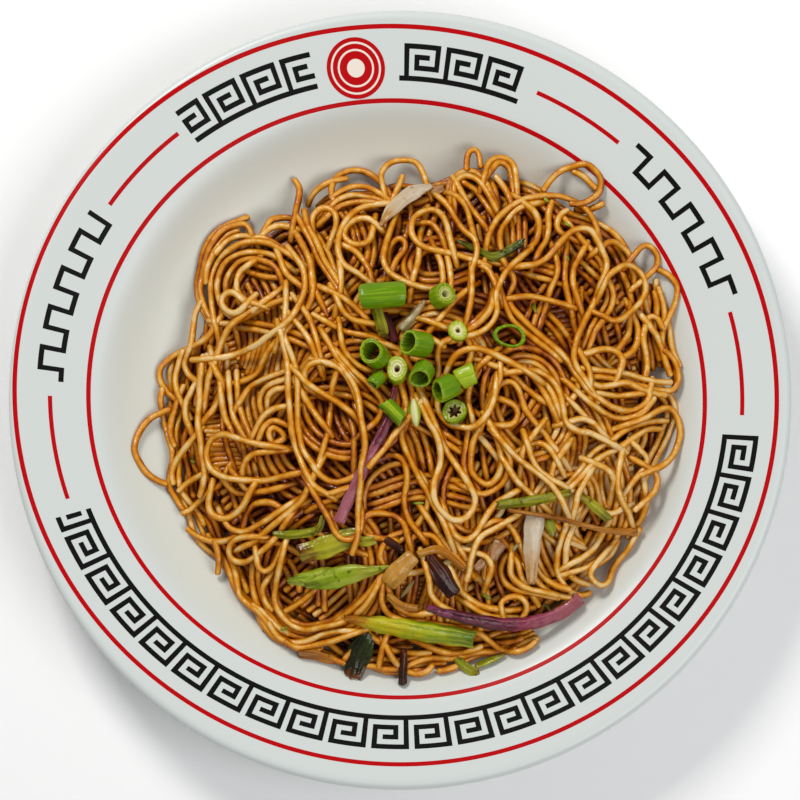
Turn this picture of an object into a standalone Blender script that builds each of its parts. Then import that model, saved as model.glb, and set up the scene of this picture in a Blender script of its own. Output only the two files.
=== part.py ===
"""Stir-fried noodles heaped in a wide-rimmed porcelain plate, with onions and greens on top.

Metres, +Z up. The origin is the middle of the plate's foot, on the table. +Y points away
from the diner. The heap is one solid: a core with the largest noodles fused to it. Every
topping is its own solid and rests a hair above what lies under it.
"""
import math
import random

import bmesh
import bpy
import numpy as np
from mathutils import Matrix, Vector
from mathutils.bvhtree import BVHTree

MM = 0.001
SEED = 11

# Plate, radii and heights in millimetres
PLATE_RADIUS = 142.5
CREST_RADIUS = 139.5
CREST_HEIGHT = 34.0
LIP_DEPTH = 3.4
RIM_INNER_RADIUS = 111.0
RIM_INNER_HEIGHT = 26.6
FLOOR_RADIUS = 58.0
FLOOR_HEIGHT = 7.0
WALL_THICKNESS = 4.4
FOOT_OUTER_RADIUS = 62.0
FOOT_INNER_RADIUS = 57.0
FOOT_RECESS = 2.6
PLATE_SEGMENTS = 48

# Heap of noodles
HEAP_X, HEAP_Y = 8.0, -6.0
HEAP_RADIUS = 92.5
HEAP_TOP = 43.5
HEAP_EDGE_THICKNESS = 4.5
HEAP_ROUNDNESS = 2.6
CORE_INSET = 3.0
CORE_RINGS = 10
CORE_SEGMENTS = 36
# Where the outline bulges: direction in degrees, reach, and half width in degrees
HEAP_BULGES = ((45, 10.0, 22), (78, 4.0, 12), (141, 5.0, 14), (246, 4.5, 18))
BUMP_HEIGHT = 1.1
BUMP_WAVES = 5

# Noodles
NOODLE_RADIUS = 1.25
NOODLE_SIDES = 6
NOODLE_STEP = 3.4
NOODLE_POINTS = 22
NOODLE_LIFT = 0.45
SHORTEST_NOODLE_POINTS = 7
SCATTERED_NOODLES = 15

GAP = 0.35
PLATE_GAP = 0.6


def clear_scene():
    for item in list(bpy.data.objects):
        bpy.data.objects.remove(item, do_unlink=True)


def make_material(name, rgb, roughness):
    material = bpy.data.materials.new(name)
    material.use_nodes = True
    shader = material.node_tree.nodes["Principled BSDF"]
    shader.inputs["Base Color"].default_value = (*rgb, 1.0)
    shader.inputs["Roughness"].default_value = roughness
    material.diffuse_color = (*rgb, 1.0)
    return material


def make_object(name, vertices, faces, material):
    """A mesh object from vertices in millimetres."""
    mesh = bpy.data.meshes.new(name)
    mesh.from_pydata([tuple(c * MM for c in v) for v in vertices], [], faces)
    mesh.update()
    made = bpy.data.objects.new(name, mesh)
    bpy.context.scene.collection.objects.link(made)
    mesh.materials.append(material)
    mesh.shade_smooth()
    mesh.set_sharp_from_angle(angle=math.radians(40))
    return made


def search_tree(vertices, faces):
    return BVHTree.FromPolygons([Vector(v) for v in vertices], faces, epsilon=0.0)


# ---------------------------------------------------------------- plate

def well_curve(steps):
    """The well's upper surface from floor to rim: one Bezier curve of radius and height."""
    start = (FLOOR_RADIUS, FLOOR_HEIGHT)
    floor_pull = (94.0, FLOOR_HEIGHT)
    shoulder_pull = (101.0, 23.0)
    end = (RIM_INNER_RADIUS, RIM_INNER_HEIGHT)
    points = []
    for i in range(steps + 1):
        t = i / steps
        weights = ((1 - t) ** 3, 3 * t * (1 - t) ** 2, 3 * t * t * (1 - t), t ** 3)
        corners = (start, floor_pull, shoulder_pull, end)
        points.append(tuple(sum(w * c[k] for w, c in zip(weights, corners)) for k in (0, 1)))
    return points


FINE_WELL = well_curve(60)


def well_height(radius):
    """Height of the plate's upper surface at a radius from its axis."""
    radii = [0.0] + [p[0] for p in FINE_WELL] + [CREST_RADIUS]
    heights = [FLOOR_HEIGHT] + [p[1] for p in FINE_WELL] + [CREST_HEIGHT]
    return float(np.interp(radius, radii, heights))


def well_slope_factor(radius):
    """How much further up a thing must go to keep its distance from the sloping well."""
    rise = well_height(radius + 0.5) - well_height(radius - 0.5)
    return math.sqrt(1.0 + rise * rise)


def plate_profile():
    """Radius and height round the plate's section, from the middle of the top outward."""
    top = [(0.0, FLOOR_HEIGHT)] + well_curve(7)
    lip_middle = CREST_HEIGHT - LIP_DEPTH / 2
    lip = [(CREST_RADIUS - 3.0, CREST_HEIGHT - 0.6), (CREST_RADIUS, CREST_HEIGHT)]
    lip += [(PLATE_RADIUS - 0.8, CREST_HEIGHT - 1.0), (PLATE_RADIUS, lip_middle - 0.6)]
    lip += [(PLATE_RADIUS - 1.0, CREST_HEIGHT - LIP_DEPTH - 0.8)]
    under = []
    for radius, height in reversed(well_curve(4)[1:]):
        under.append((radius + WALL_THICKNESS * 0.45, height - WALL_THICKNESS * 0.95))
    foot_top = FLOOR_HEIGHT - WALL_THICKNESS
    foot = [(FOOT_OUTER_RADIUS + 1.2, foot_top), (FOOT_OUTER_RADIUS, 0.0)]
    foot += [(FOOT_INNER_RADIUS, 0.0), (FOOT_INNER_RADIUS - 1.2, FOOT_RECESS)]
    return top + lip + under + foot + [(0.0, FOOT_RECESS)]


def make_plate(material):
    profile = plate_profile()
    vertices = [(0.0, 0.0, profile[0][1])]
    for radius, height in profile[1:-1]:
        for k in range(PLATE_SEGMENTS):
            angle = 2 * math.pi * k / PLATE_SEGMENTS
            vertices.append((radius * math.cos(angle), radius * math.sin(angle), height))
    vertices.append((0.0, 0.0, profile[-1][1]))
    last = len(vertices) - 1
    rings = len(profile) - 2
    faces = []
    for k in range(PLATE_SEGMENTS):
        after = (k + 1) % PLATE_SEGMENTS
        faces.append((0, 1 + k, 1 + after))
        for ring in range(rings - 1):
            inner = 1 + ring * PLATE_SEGMENTS
            outer = inner + PLATE_SEGMENTS
            faces.append((inner + k, outer + k, outer + after, inner + after))
        bottom = 1 + (rings - 1) * PLATE_SEGMENTS
        faces.append((bottom + k, last, bottom + after))
    return make_object("plate", vertices, faces, material)


# ---------------------------------------------------------------- heap core

def heap_reach(angle):
    """Distance from the heap's middle to its outline, in a direction."""
    reach = HEAP_RADIUS
    for direction, size, width in HEAP_BULGES:
        turn = (math.degrees(angle) - direction + 180) % 360 - 180
        reach += size * math.exp(-(turn / width) ** 2)
    return reach


def make_bumps():
    """Long low waves that make the heap's top uneven: direction, wavelength and phase."""
    draw = random.Random(SEED)
    waves = []
    for _ in range(BUMP_WAVES):
        heading = draw.uniform(0, math.pi)
        waves.append((heading, draw.uniform(34, 62), draw.uniform(0, 2 * math.pi)))
    return waves


BUMPS = make_bumps()


def core_reach(angle):
    return heap_reach(angle) - CORE_INSET


def core_height(x, y):
    """Height of the core's upper surface above the table."""
    dx, dy = x - HEAP_X, y - HEAP_Y
    angle = math.atan2(dy, dx)
    reach = core_reach(angle)
    share = min(math.hypot(dx, dy) / reach, 1.0)
    edge_x = HEAP_X + reach * math.cos(angle)
    edge_y = HEAP_Y + reach * math.sin(angle)
    edge = well_height(math.hypot(edge_x, edge_y)) + HEAP_EDGE_THICKNESS
    dome = (1 - share ** HEAP_ROUNDNESS) ** 0.9
    bump = 0.0
    for heading, length, phase in BUMPS:
        along = x * math.cos(heading) + y * math.sin(heading)
        bump += BUMP_HEIGHT * math.sin(2 * math.pi * along / length + phase)
    return edge + (HEAP_TOP - edge) * dome + bump * (1 - share ** 2)


def inside_share(x, y):
    """0 in the heap's middle, 1 on the core's outline."""
    dx, dy = x - HEAP_X, y - HEAP_Y
    return math.hypot(dx, dy) / core_reach(math.atan2(dy, dx))


def core_shape():
    """Vertices and faces of the core: a domed top, and an underside that fits the well."""
    vertices, faces = [], []
    shares = [(i / CORE_RINGS) for i in range(1, CORE_RINGS + 1)]
    under_shares = [1.0, 0.86, 0.7, 0.5]

    def point(share, k, under):
        angle = 2 * math.pi * k / CORE_SEGMENTS
        reach = share * core_reach(angle)
        x = HEAP_X + reach * math.cos(angle)
        y = HEAP_Y + reach * math.sin(angle)
        if under:
            radius = math.hypot(x, y)
            return (x, y, well_height(radius) + PLATE_GAP * well_slope_factor(radius))
        return (x, y, core_height(x, y))

    vertices.append((HEAP_X, HEAP_Y, core_height(HEAP_X, HEAP_Y)))
    for share in shares:
        vertices += [point(share, k, False) for k in range(CORE_SEGMENTS)]
    for share in under_shares:
        vertices += [point(share, k, True) for k in range(CORE_SEGMENTS)]
    vertices.append((HEAP_X, HEAP_Y, FLOOR_HEIGHT + PLATE_GAP))
    last = len(vertices) - 1
    rings = len(shares) + len(under_shares)
    for k in range(CORE_SEGMENTS):
        after = (k + 1) % CORE_SEGMENTS
        faces.append((0, 1 + k, 1 + after))
        for ring in range(rings - 1):
            inner = 1 + ring * CORE_SEGMENTS
            outer = inner + CORE_SEGMENTS
            faces.append((inner + k, outer + k, outer + after))
            faces.append((inner + k, outer + after, inner + after))
        bottom = 1 + (rings - 1) * CORE_SEGMENTS
        faces.append((bottom + k, last, bottom + after))
    return vertices, faces


# ---------------------------------------------------------------- laying pieces on the heap

class Pile:
    """What has been laid so far, to rest the next piece on."""

    def __init__(self):
        self.trees = []

    def add(self, vertices, faces):
        self.trees.append(search_tree(vertices, faces))

    def height(self, x, y):
        """Height of the highest surface under a point."""
        highest = well_height(math.hypot(x, y))
        for tree in self.trees:
            hit = tree.ray_cast(Vector((x, y, 200.0)), Vector((0, 0, -1)))
            if hit[0] is not None:
                highest = max(highest, hit[0].z)
        return highest

    def touches(self, vertices, faces):
        tree = search_tree(vertices, faces)
        return any(tree.overlap(other) for other in self.trees)

    def settle(self, vertices, faces):
        """Lower a piece onto the pile from above, and leave the gap under it."""
        lift = 12.0
        for step in (0.6, 0.08):
            while not self.touches(raised(vertices, lift - step), faces):
                lift -= step
                if lift < -20.0:
                    break
        vertices = raised(vertices, lift + GAP - 0.04)
        self.add(vertices, faces)
        return vertices

    def distance(self, point):
        """Distance from a point to the nearest piece, the core left out."""
        nearest = 50.0
        for tree in self.trees[1:]:
            found = tree.find_nearest(Vector(point), 50.0)
            if found[0] is not None:
                nearest = min(nearest, found[3])
        return nearest


def raised(vertices, lift):
    return [(x, y, z + lift) for x, y, z in vertices]


def along_path(corners, count):
    """Evenly spaced points on a smooth curve through plan points, with their directions."""
    corners = [Vector((*c, 0.0)) for c in corners]
    padded = [2 * corners[0] - corners[1]] + corners + [2 * corners[-1] - corners[-2]]
    fine = []
    for i in range(1, len(padded) - 2):
        a, b, c, d = padded[i - 1:i + 3]
        for j in range(12):
            t = j / 12
            fine.append(0.5 * (2 * b + (c - a) * t + (2 * a - 5 * b + 4 * c - d) * t * t
                               + (3 * b - a - 3 * c + d) * t ** 3))
    fine.append(corners[-1])
    lengths = [0.0]
    for before, after in zip(fine, fine[1:]):
        lengths.append(lengths[-1] + (after - before).length)
    wanted = np.linspace(0, lengths[-1], count)
    xs = np.interp(wanted, lengths, [p.x for p in fine])
    ys = np.interp(wanted, lengths, [p.y for p in fine])
    points = [Vector((x, y, 0.0)) for x, y in zip(xs, ys)]
    headings = []
    for i in range(count):
        ahead = points[min(i + 1, count - 1)] - points[max(i - 1, 0)]
        headings.append(ahead.normalized())
    return points, headings


def smoothed(values):
    padded = [values[0]] + values + [values[-1]]
    return [(a + 2 * b + c) / 4 for a, b, c in zip(padded, padded[1:], padded[2:])]


def strip_shape(pile, corners, widths, thickness, arch=0.0, wave=0.0):
    """A flat strip that follows the pile: widths are spread evenly from start to end.

    arch raises its middle over its edges, wave lifts its two edges in turn.
    """
    length = sum((Vector(a) - Vector(b)).length for a, b in zip(corners, corners[1:]))
    count = max(3, round(length / 5.5) + 1)
    points, headings = along_path(corners, count)
    spread = np.linspace(0, len(widths) - 1, count)
    half = [0.5 * float(np.interp(s, range(len(widths)), widths)) for s in spread]
    edges = []
    for side in (-1, 1):
        heights = []
        for point, heading, reach in zip(points, headings, half):
            across = Vector((-heading.y, heading.x, 0.0))
            spot = point + across * side * reach * 0.8
            heights.append(pile.height(spot.x, spot.y))
        edges.append(smoothed(smoothed(heights)))
    section = ((-1, 0), (-0.5, 1), (0.5, 1), (1, 0), (0.5, -1), (-0.5, -1))
    vertices = []
    for i, (point, heading, reach) in enumerate(zip(points, headings, half)):
        across = Vector((-heading.y, heading.x, 0.0))
        for u, v in section:
            place = point + across * u * reach
            height = edges[0][i] * (1 - u) / 2 + edges[1][i] * (1 + u) / 2
            height += arch * (1 - u * u) + wave * u * math.sin(2.1 * i)
            vertices.append((place.x, place.y, height + v * thickness / 2))
    return vertices, strip_faces(count)


def strip_faces(count):
    """Triangles of a strip with six points a station, split alike on both faces."""
    faces = []
    bands = ((0, 1), (1, 2), (2, 3))
    under = {0: 0, 1: 5, 2: 4, 3: 3}
    for i in range(count - 1):
        here, there = 6 * i, 6 * (i + 1)
        for a, b in bands:
            faces.append((here + a, there + a, there + b))
            faces.append((here + a, there + b, here + b))
            c, d = under[a], under[b]
            faces.append((here + c, there + d, there + c))
            faces.append((here + c, here + d, there + d))
    end = 6 * (count - 1)
    caps = ((0, 1, 5), (1, 2, 4), (1, 4, 5), (2, 3, 4))
    faces += [(a, b, c) for a, b, c in caps]
    faces += [(end + a, end + c, end + b) for a, b, c in caps]
    return faces


def ring_shape(pile, place, width, length, wall, heading, lean, squash=1.0, sides=10):
    """A short length of a hollow stalk. lean 0 stands it on end, 90 lays it down."""
    vertices = []
    for height in (-length / 2, length / 2):
        for radius in (width / 2, width / 2 - wall):
            for k in range(sides):
                angle = 2 * math.pi * k / sides
                across = radius * math.sin(angle) * squash
                vertices.append(Vector((radius * math.cos(angle), across, height)))
    turn = Matrix.Rotation(math.radians(heading), 3, "Z")
    turn = turn @ Matrix.Rotation(math.radians(lean), 3, "Y")
    base = pile.height(*place) + max(width, length) / 2
    middle = Vector((*place, base))
    vertices = [tuple(turn @ v + middle) for v in vertices]
    outer_low, inner_low, outer_high, inner_high = (sides * i for i in range(4))
    faces = []
    for k in range(sides):
        after = (k + 1) % sides
        faces.append((outer_low + k, outer_low + after, outer_high + after, outer_high + k))
        faces.append((inner_low + k, inner_high + k, inner_high + after, inner_low + after))
        faces.append((outer_high + k, outer_high + after, inner_high + after, inner_high + k))
        faces.append((outer_low + k, inner_low + k, inner_low + after, outer_low + after))
    return vertices, triangulated(faces)


def triangulated(faces):
    result = []
    for face in faces:
        for i in range(1, len(face) - 1):
            result.append((face[0], face[i], face[i + 1]))
    return result


# ---------------------------------------------------------------- toppings

# Strips, lowest first. Plan points, widths from start to end, thickness, arch, wave.
STRIPS = (
    ("red_onion_1", ((-2, 1), (-5.2, -12), (-12.4, -26.5), (-17.8, -37.4), (-22, -46.5)),
     (2.6, 4.2, 4.2, 3.8), 1.3, 0.3, 0.0, "red onion"),
    ("red_onion_2", ((-5.4, 28.2), (-1.4, 18.2)), (2.0, 3.8, 3.0), 1.2, 0.3, 0.0, "red onion"),
    ("onion_1", ((0.6, 23.6), (4.8, 28), (9.2, 33.2)), (3.6, 3.4, 1.8), 1.1, 0.2, 0.0, "onion"),
    ("stem_1", ((-8.6, 31.2), (-5.6, 20.4)), (3.8, 4.0, 3.4), 1.3, 0.4, 0.0, "pale stem"),
    ("red_onion_3", ((10, -77.4), (18.4, -79.6), (29.3, -82), (40.2, -83.2), (51.1, -81.7),
                     (60.2, -78), (65.7, -73.4)),
     (2.6, 4.6, 4.8, 4.8, 4.6, 3.4), 1.8, 0.9, 0.0, "red onion"),
    ("onion_2", ((-6.6, 63.4), (-1.2, 71.2), (4.6, 76), (11.2, 78.2)),
     (1.6, 5.4, 5.0, 2.4), 1.1, 0.6, 0.0, "onion"),
    ("onion_3", ((12.2, 76), (17, 78)), (2.4, 4.4, 3.2), 1.1, 0.3, 0.0, "onion"),
    ("onion_4", ((48.7, -44.4), (48.2, -56), (47.4, -67.3)), (7.0, 6.6, 5.2, 2.4), 1.1, 0.5, 0.0,
     "onion"),
    ("onion_5", ((32.4, -59), (36.8, -54.8)), (3.4, 5.6, 4.0), 1.1, 0.3, 0.0, "onion"),
    ("onion_6", ((26.6, -63.6), (31.4, -59.8)), (3.6, 5.2, 3.6), 1.1, 0.3, 0.0, "onion"),
    ("stem_2", ((35.4, -40), (49.1, -38.6), (62, -36)), (3.6, 3.6, 2.8), 1.4, 0.5, 0.0,
     "green stem"),
    ("stem_3", ((64, -36.6), (69.6, -40), (75.8, -45)), (2.8, 3.8, 3.2), 1.3, 0.5, 0.0,
     "green stem"),
    ("stem_4", ((53.8, -46.4), (55.4, -51.4)), (3.6, 3.8, 2.2), 1.1, 0.2, 0.0, "green stem"),
    ("stalk_1", ((38.6, -42.4), (55.6, -45), (74, -49), (87, -49.4)), (1.7, 1.7, 2.0, 3.6),
     1.4, 0.2, 0.0, "browned stalk"),
    ("leaf_1", ((-11.4, -86.6), (-14.8, -94), (-17.2, -102.4)), (4.2, 8.2, 7.0, 4.4), 0.9, 0.4,
     0.35, "dark leaf"),
    ("stem_5", ((-19.2, -80.8), (-8.9, -82.9), (3.8, -85), (16.6, -86.9), (27.4, -88.4)),
     (2.4, 6.8, 7.4, 7.4, 5.6), 2.2, 1.2, 0.0, "pale stem"),
    ("stem_6", ((20.3, -93.4), (24.6, -97.6), (28.6, -98.6), (38.6, -92.6)),
     (2.2, 3.4, 3.4, 1.8), 1.2, 0.3, 0.0, "green stem"),
    ("leaf_2", ((-40.6, -67.2), (-29, -66.6), (-17.9, -64.8), (-3, -62.4)),
     (1.8, 6.6, 8.4, 5.0, 1.6), 1.0, 1.1, 0.3, "green leaf"),
    ("stem_7", ((-35.2, -57.4), (-25.1, -54.6), (-17.9, -52), (-9.4, -51.6)),
     (4.0, 7.0, 6.2, 3.4), 1.3, 0.9, 0.0, "green stem"),
    ("stem_8", ((-45.7, -50.4), (-36, -50.4), (-29.4, -48.6), (-28, -43.6)),
     (2.0, 3.6, 3.2, 1.8), 1.1, 0.4, 0.0, "green stem"),
    ("stem_9", ((21.5, 55.8), (28.7, 52.6), (34.8, 50.4), (45.3, 56)), (2.2, 3.4, 3.6, 2.2),
     1.1, 0.4, 0.0, "dark leaf"),
    ("stalk_2", ((1.4, -92.6), (1.0, -104.2)), (2.6, 3.0, 3.0), 2.2, 0.2, 0.0,
     "browned stalk"),
    ("browned_onion_1", ((10.6, -59.6), (19.8, -72.6)), (5.4, 7.4, 5.0), 1.2, 0.5, 0.0,
     "dark onion"),
    ("browned_onion_2", ((-5.8, -68), (-0.2, -63), (4.6, -59.6)), (7.8, 8.6, 5.4), 1.2, 0.8, 0.0,
     "browned onion"),
    ("browned_onion_3", ((6.8, -58.2), (14.4, -56.8), (22.6, -63)), (2.6, 2.8, 2.4), 1.2, 0.4,
     0.0, "browned onion"),
    ("browned_onion_4", ((-4.2, -72.6), (0.2, -76.2), (7.4, -77.4)), (2.6, 3.0, 2.4), 1.2, 0.4,
     0.0, "browned onion"),
    ("browned_onion_5", ((-5, -53), (1.2, -57)), (2.4, 3.2, 2.8), 1.2, 0.3, 0.0,
     "dark onion"),
)

# Spring onion pieces, lowest first. Plan place, width, length, wall, heading, lean, squash.
RINGS = (
    ((-9.0, 14.8), 9.4, 5.4, 1.5, 150, 20, 0.94, "spring onion"),
    ((6.4, 17.9), 8.6, 11.2, 1.3, 175, 80, 1.0, "spring onion"),
    ((8.0, 7.6), 8.6, 6.2, 1.3, 250, 55, 0.95, "spring onion"),
    ((-1.0, 9.0), 7.8, 4.6, 2.6, 200, 12, 0.95, "pale spring onion"),
    ((-8.2, 5.6), 4.6, 4.8, 1.2, 230, 70, 1.0, "spring onion"),
    ((23.9, 6.5), 6.8, 6.2, 1.2, 25, 80, 1.0, "spring onion"),
    ((16.2, 2.2), 8.6, 7.2, 1.3, 208, 62, 0.9, "spring onion"),
    ((19.6, -6.0), 8.6, 3.8, 2.0, 120, 10, 0.96, "pale spring onion"),
    ((-2.4, -6.2), 6.2, 8.6, 1.2, 135, 88, 0.75, "spring onion"),
    ((5.2, -6.4), 4.6, 8.8, 1.5, 96, 88, 0.7, "pale spring onion"),
    ((-6.3, 36.2), 8.8, 14.4, 1.3, 4, 90, 1.0, "spring onion"),
    ((14.8, 35.6), 7.6, 5.8, 2.4, 30, 24, 1.0, "pale spring onion"),
    ((20.7, 22.7), 6.8, 3.4, 2.3, 80, 8, 1.0, "pale spring onion"),
    ((39.4, 21.4), 10.8, 3.0, 1.1, 0, 6, 0.74, "spring onion"),
)

FINISHES = {
    "red onion": ((0.16, 0.015, 0.06), 0.3),
    "onion": ((0.62, 0.50, 0.34), 0.3),
    "pale stem": ((0.32, 0.42, 0.02), 0.35),
    "green stem": ((0.17, 0.27, 0.02), 0.35),
    "green leaf": ((0.15, 0.34, 0.02), 0.35),
    "dark leaf": ((0.02, 0.06, 0.01), 0.3),
    "browned stalk": ((0.20, 0.06, 0.01), 0.3),
    "browned onion": ((0.46, 0.22, 0.05), 0.3),
    "dark onion": ((0.06, 0.02, 0.01), 0.3),
    "spring onion": ((0.09, 0.30, 0.01), 0.35),
    "pale spring onion": ((0.42, 0.58, 0.12), 0.35),
}


def lay_toppings(pile, materials):
    for name, corners, widths, thickness, arch, wave, finish in STRIPS:
        shape, faces = strip_shape(pile, corners, widths, thickness, arch, wave)
        shape = pile.settle(shape, faces)
        make_object(name, shape, faces, materials[finish])
    for number, spec in enumerate(RINGS, start=1):
        place, width, length, wall, heading, lean, squash, finish = spec
        shape, faces = ring_shape(pile, place, width, length, wall, heading, lean, squash)
        shape = pile.settle(shape, faces)
        make_object(f"spring_onion_{number:02d}", shape, faces, materials[finish])


# ---------------------------------------------------------------- noodles

# Loops that stand out: middle, half sizes, turn of the long axis, start and sweep in degrees
LOOPS = (
    ((-84, -16), (12.5, 12.5), 0, 62, 236),
    ((64, 77), (10, 7.5), 20, 205, -250),
    ((53, 54), (18, 18), 0, 100, 300),
    ((-51, 44), (21, 20), 0, 30, 300),
    ((-50, 43), (12, 11), 0, 200, 310),
    ((2, 79), (8.5, 8), 0, -20, 220),
    ((82, 38), (8, 8), 0, 0, 320),
    ((-46, -2), (20, 15), 60, 60, 230),
    ((16, -20), (7, 24), 8, 120, 300),
    ((90, -15), (10.5, 12), 0, 110, -235),
    ((-30, 22), (9, 30), 12, 60, 220),
    ((-66, -26), (9, 9), 0, 40, 300),
    ((-20, -88), (34, 8), 4, 190, 150),
    ((62, -62), (18, 22), -30, 150, 190),
    ((32, 20), (24, 14), -28, 200, -230),
)


def loop_path(spec):
    middle, half, turn, start, sweep = spec
    turn = math.radians(turn)
    points = []
    for i in range(NOODLE_POINTS):
        angle = math.radians(start + sweep * i / (NOODLE_POINTS - 1))
        u, v = half[0] * math.cos(angle), half[1] * math.sin(angle)
        x = middle[0] + u * math.cos(turn) - v * math.sin(turn)
        y = middle[1] + u * math.sin(turn) + v * math.cos(turn)
        points.append((x, y))
    return points


def scattered_paths():
    """Winding noodles, spread over the heap by the golden angle."""
    draw = random.Random(SEED + 1)
    golden = math.pi * (3 - math.sqrt(5))
    paths = []
    for i in range(SCATTERED_NOODLES):
        share = math.sqrt((i + 0.5) / SCATTERED_NOODLES) * 0.93
        angle = golden * i + 0.7
        reach = share * core_reach(angle)
        x = HEAP_X + reach * math.cos(angle)
        y = HEAP_Y + reach * math.sin(angle)
        heading = angle + math.pi / 2 + draw.uniform(-0.6, 0.6)
        bend = draw.choice((-1, 1)) / draw.uniform(11, 26)
        swing = draw.uniform(0.0, 0.05)
        phase = draw.uniform(0, 2 * math.pi)
        path = []
        for j in range(NOODLE_POINTS):
            path.append((x, y))
            heading += (bend + swing * math.sin(0.4 * j + phase)) * NOODLE_STEP
            x += NOODLE_STEP * math.cos(heading)
            y += NOODLE_STEP * math.sin(heading)
        paths.append(path)
    return paths


def raise_path(path, may_leave):
    """Give a plan path its heights: over the core, or on the plate past the core's edge."""
    heights = []
    for x, y in path:
        radius = math.hypot(x, y)
        floor = well_height(radius) + (NOODLE_RADIUS + PLATE_GAP) * well_slope_factor(radius)
        share = inside_share(x, y)
        top = core_height(x, y) + NOODLE_LIFT if share < 1.0 else floor
        heights.append(max(top, floor))
    heights = smoothed(heights)
    result = []
    for (x, y), height in zip(path, heights):
        radius = math.hypot(x, y)
        floor = well_height(radius) + (NOODLE_RADIUS + PLATE_GAP) * well_slope_factor(radius)
        share = inside_share(x, y)
        allowed = share < (1.6 if may_leave else 1.01)
        result.append(((x, y, max(height, floor)), allowed))
    return result


def longest_clear(marked, pile):
    """The longest unbroken stretch of a path that stays in the heap and off the toppings."""
    best, current = [], []
    for point, allowed in marked:
        clear = allowed and pile.distance(point) > NOODLE_RADIUS + 2 * GAP
        current = current + [point] if clear else []
        if len(current) > len(best):
            best = current
    return best


def tube_shape(points):
    """A closed tube of constant section along a path."""
    points = [Vector(p) for p in points]
    count = len(points)
    vertices, faces = [], []
    for i, point in enumerate(points):
        ahead = (points[min(i + 1, count - 1)] - points[max(i - 1, 0)]).normalized()
        side = ahead.cross(Vector((0, 0, 1))).normalized()
        up = side.cross(ahead)
        for k in range(NOODLE_SIDES):
            angle = 2 * math.pi * (k + 0.5) / NOODLE_SIDES
            offset = side * math.cos(angle) + up * math.sin(angle)
            vertices.append(tuple(point + offset * NOODLE_RADIUS))
    for i in range(count - 1):
        for k in range(NOODLE_SIDES):
            after = (k + 1) % NOODLE_SIDES
            here, there = i * NOODLE_SIDES, (i + 1) * NOODLE_SIDES
            faces.append((here + k, here + after, there + after, there + k))
    faces.append(tuple(reversed(range(NOODLE_SIDES))))
    faces.append(tuple((count - 1) * NOODLE_SIDES + k for k in range(NOODLE_SIDES)))
    return vertices, faces


def outward(made):
    """Turn every face of a closed mesh outward."""
    shape = bmesh.new()
    shape.from_mesh(made.data)
    bmesh.ops.recalc_face_normals(shape, faces=shape.faces)
    shape.to_mesh(made.data)
    shape.free()


def keep_main_body(mesh):
    """Drop loose scraps and the walls of hollows that fusing closed."""
    shape = bmesh.new()
    shape.from_mesh(mesh)
    bmesh.ops.triangulate(shape, faces=shape.faces)
    left = set(shape.faces)
    bodies = []
    while left:
        body, queue = set(), [left.pop()]
        while queue:
            face = queue.pop()
            body.add(face)
            for edge in face.edges:
                for other in edge.link_faces:
                    if other in left:
                        left.remove(other)
                        queue.append(other)
        bodies.append(body)
    bodies.sort(key=len)
    for body in bodies[:-1]:
        bmesh.ops.delete(shape, geom=list(body), context="FACES")
    loose = [v for v in shape.verts if not v.link_faces]
    bmesh.ops.delete(shape, geom=loose, context="VERTS")
    shape.to_mesh(mesh)
    shape.free()


def make_noodles(pile, core, material):
    """The core with its largest noodles fused on by one union."""
    heap = make_object("noodles", *core, material)
    outward(heap)
    strands = bpy.data.collections.new("strands")
    bpy.context.scene.collection.children.link(strands)
    paths = [(loop_path(spec), True) for spec in LOOPS]
    paths += [(path, False) for path in scattered_paths()]
    for path, may_leave in paths:
        points = longest_clear(raise_path(path, may_leave), pile)
        if len(points) < SHORTEST_NOODLE_POINTS:
            continue
        strand = make_object("strand", *tube_shape(points), material)
        outward(strand)
        bpy.context.scene.collection.objects.unlink(strand)
        strands.objects.link(strand)
    union = heap.modifiers.new("fuse", "BOOLEAN")
    union.operation = "UNION"
    union.operand_type = "COLLECTION"
    union.collection = strands
    union.solver = "EXACT"
    bpy.context.view_layer.update()
    view = heap.evaluated_get(bpy.context.evaluated_depsgraph_get())
    fused = bpy.data.meshes.new_from_object(view)
    heap.modifiers.clear()
    heap.data = fused
    for strand in list(strands.objects):
        bpy.data.objects.remove(strand, do_unlink=True)
    bpy.data.collections.remove(strands)
    keep_main_body(heap.data)
    heap.data.shade_smooth()
    heap.data.set_sharp_from_angle(angle=math.radians(40))


def main():
    clear_scene()
    materials = {name: make_material(name, *look) for name, look in FINISHES.items()}
    glaze = make_material("porcelain glaze", (0.66, 0.66, 0.62), 0.2)
    noodle = make_material("soy-glazed noodle", (0.42, 0.19, 0.04), 0.35)
    outward(make_plate(glaze))
    core = core_shape()
    pile = Pile()
    pile.add(*core)
    lay_toppings(pile, materials)
    make_noodles(pile, core, noodle)


main()
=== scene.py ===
"""A plate of stir-fried noodles: porcelain, a heap of glazed strands, onions and greens.

Everything is laid in the frame that the solids give, in metres, +Z up. Sizes below are in
millimetres unless a name says otherwise.
"""
import math
import random

import bpy
import numpy as np
from mathutils import Matrix, Vector
from mathutils.bvhtree import BVHTree


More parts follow.
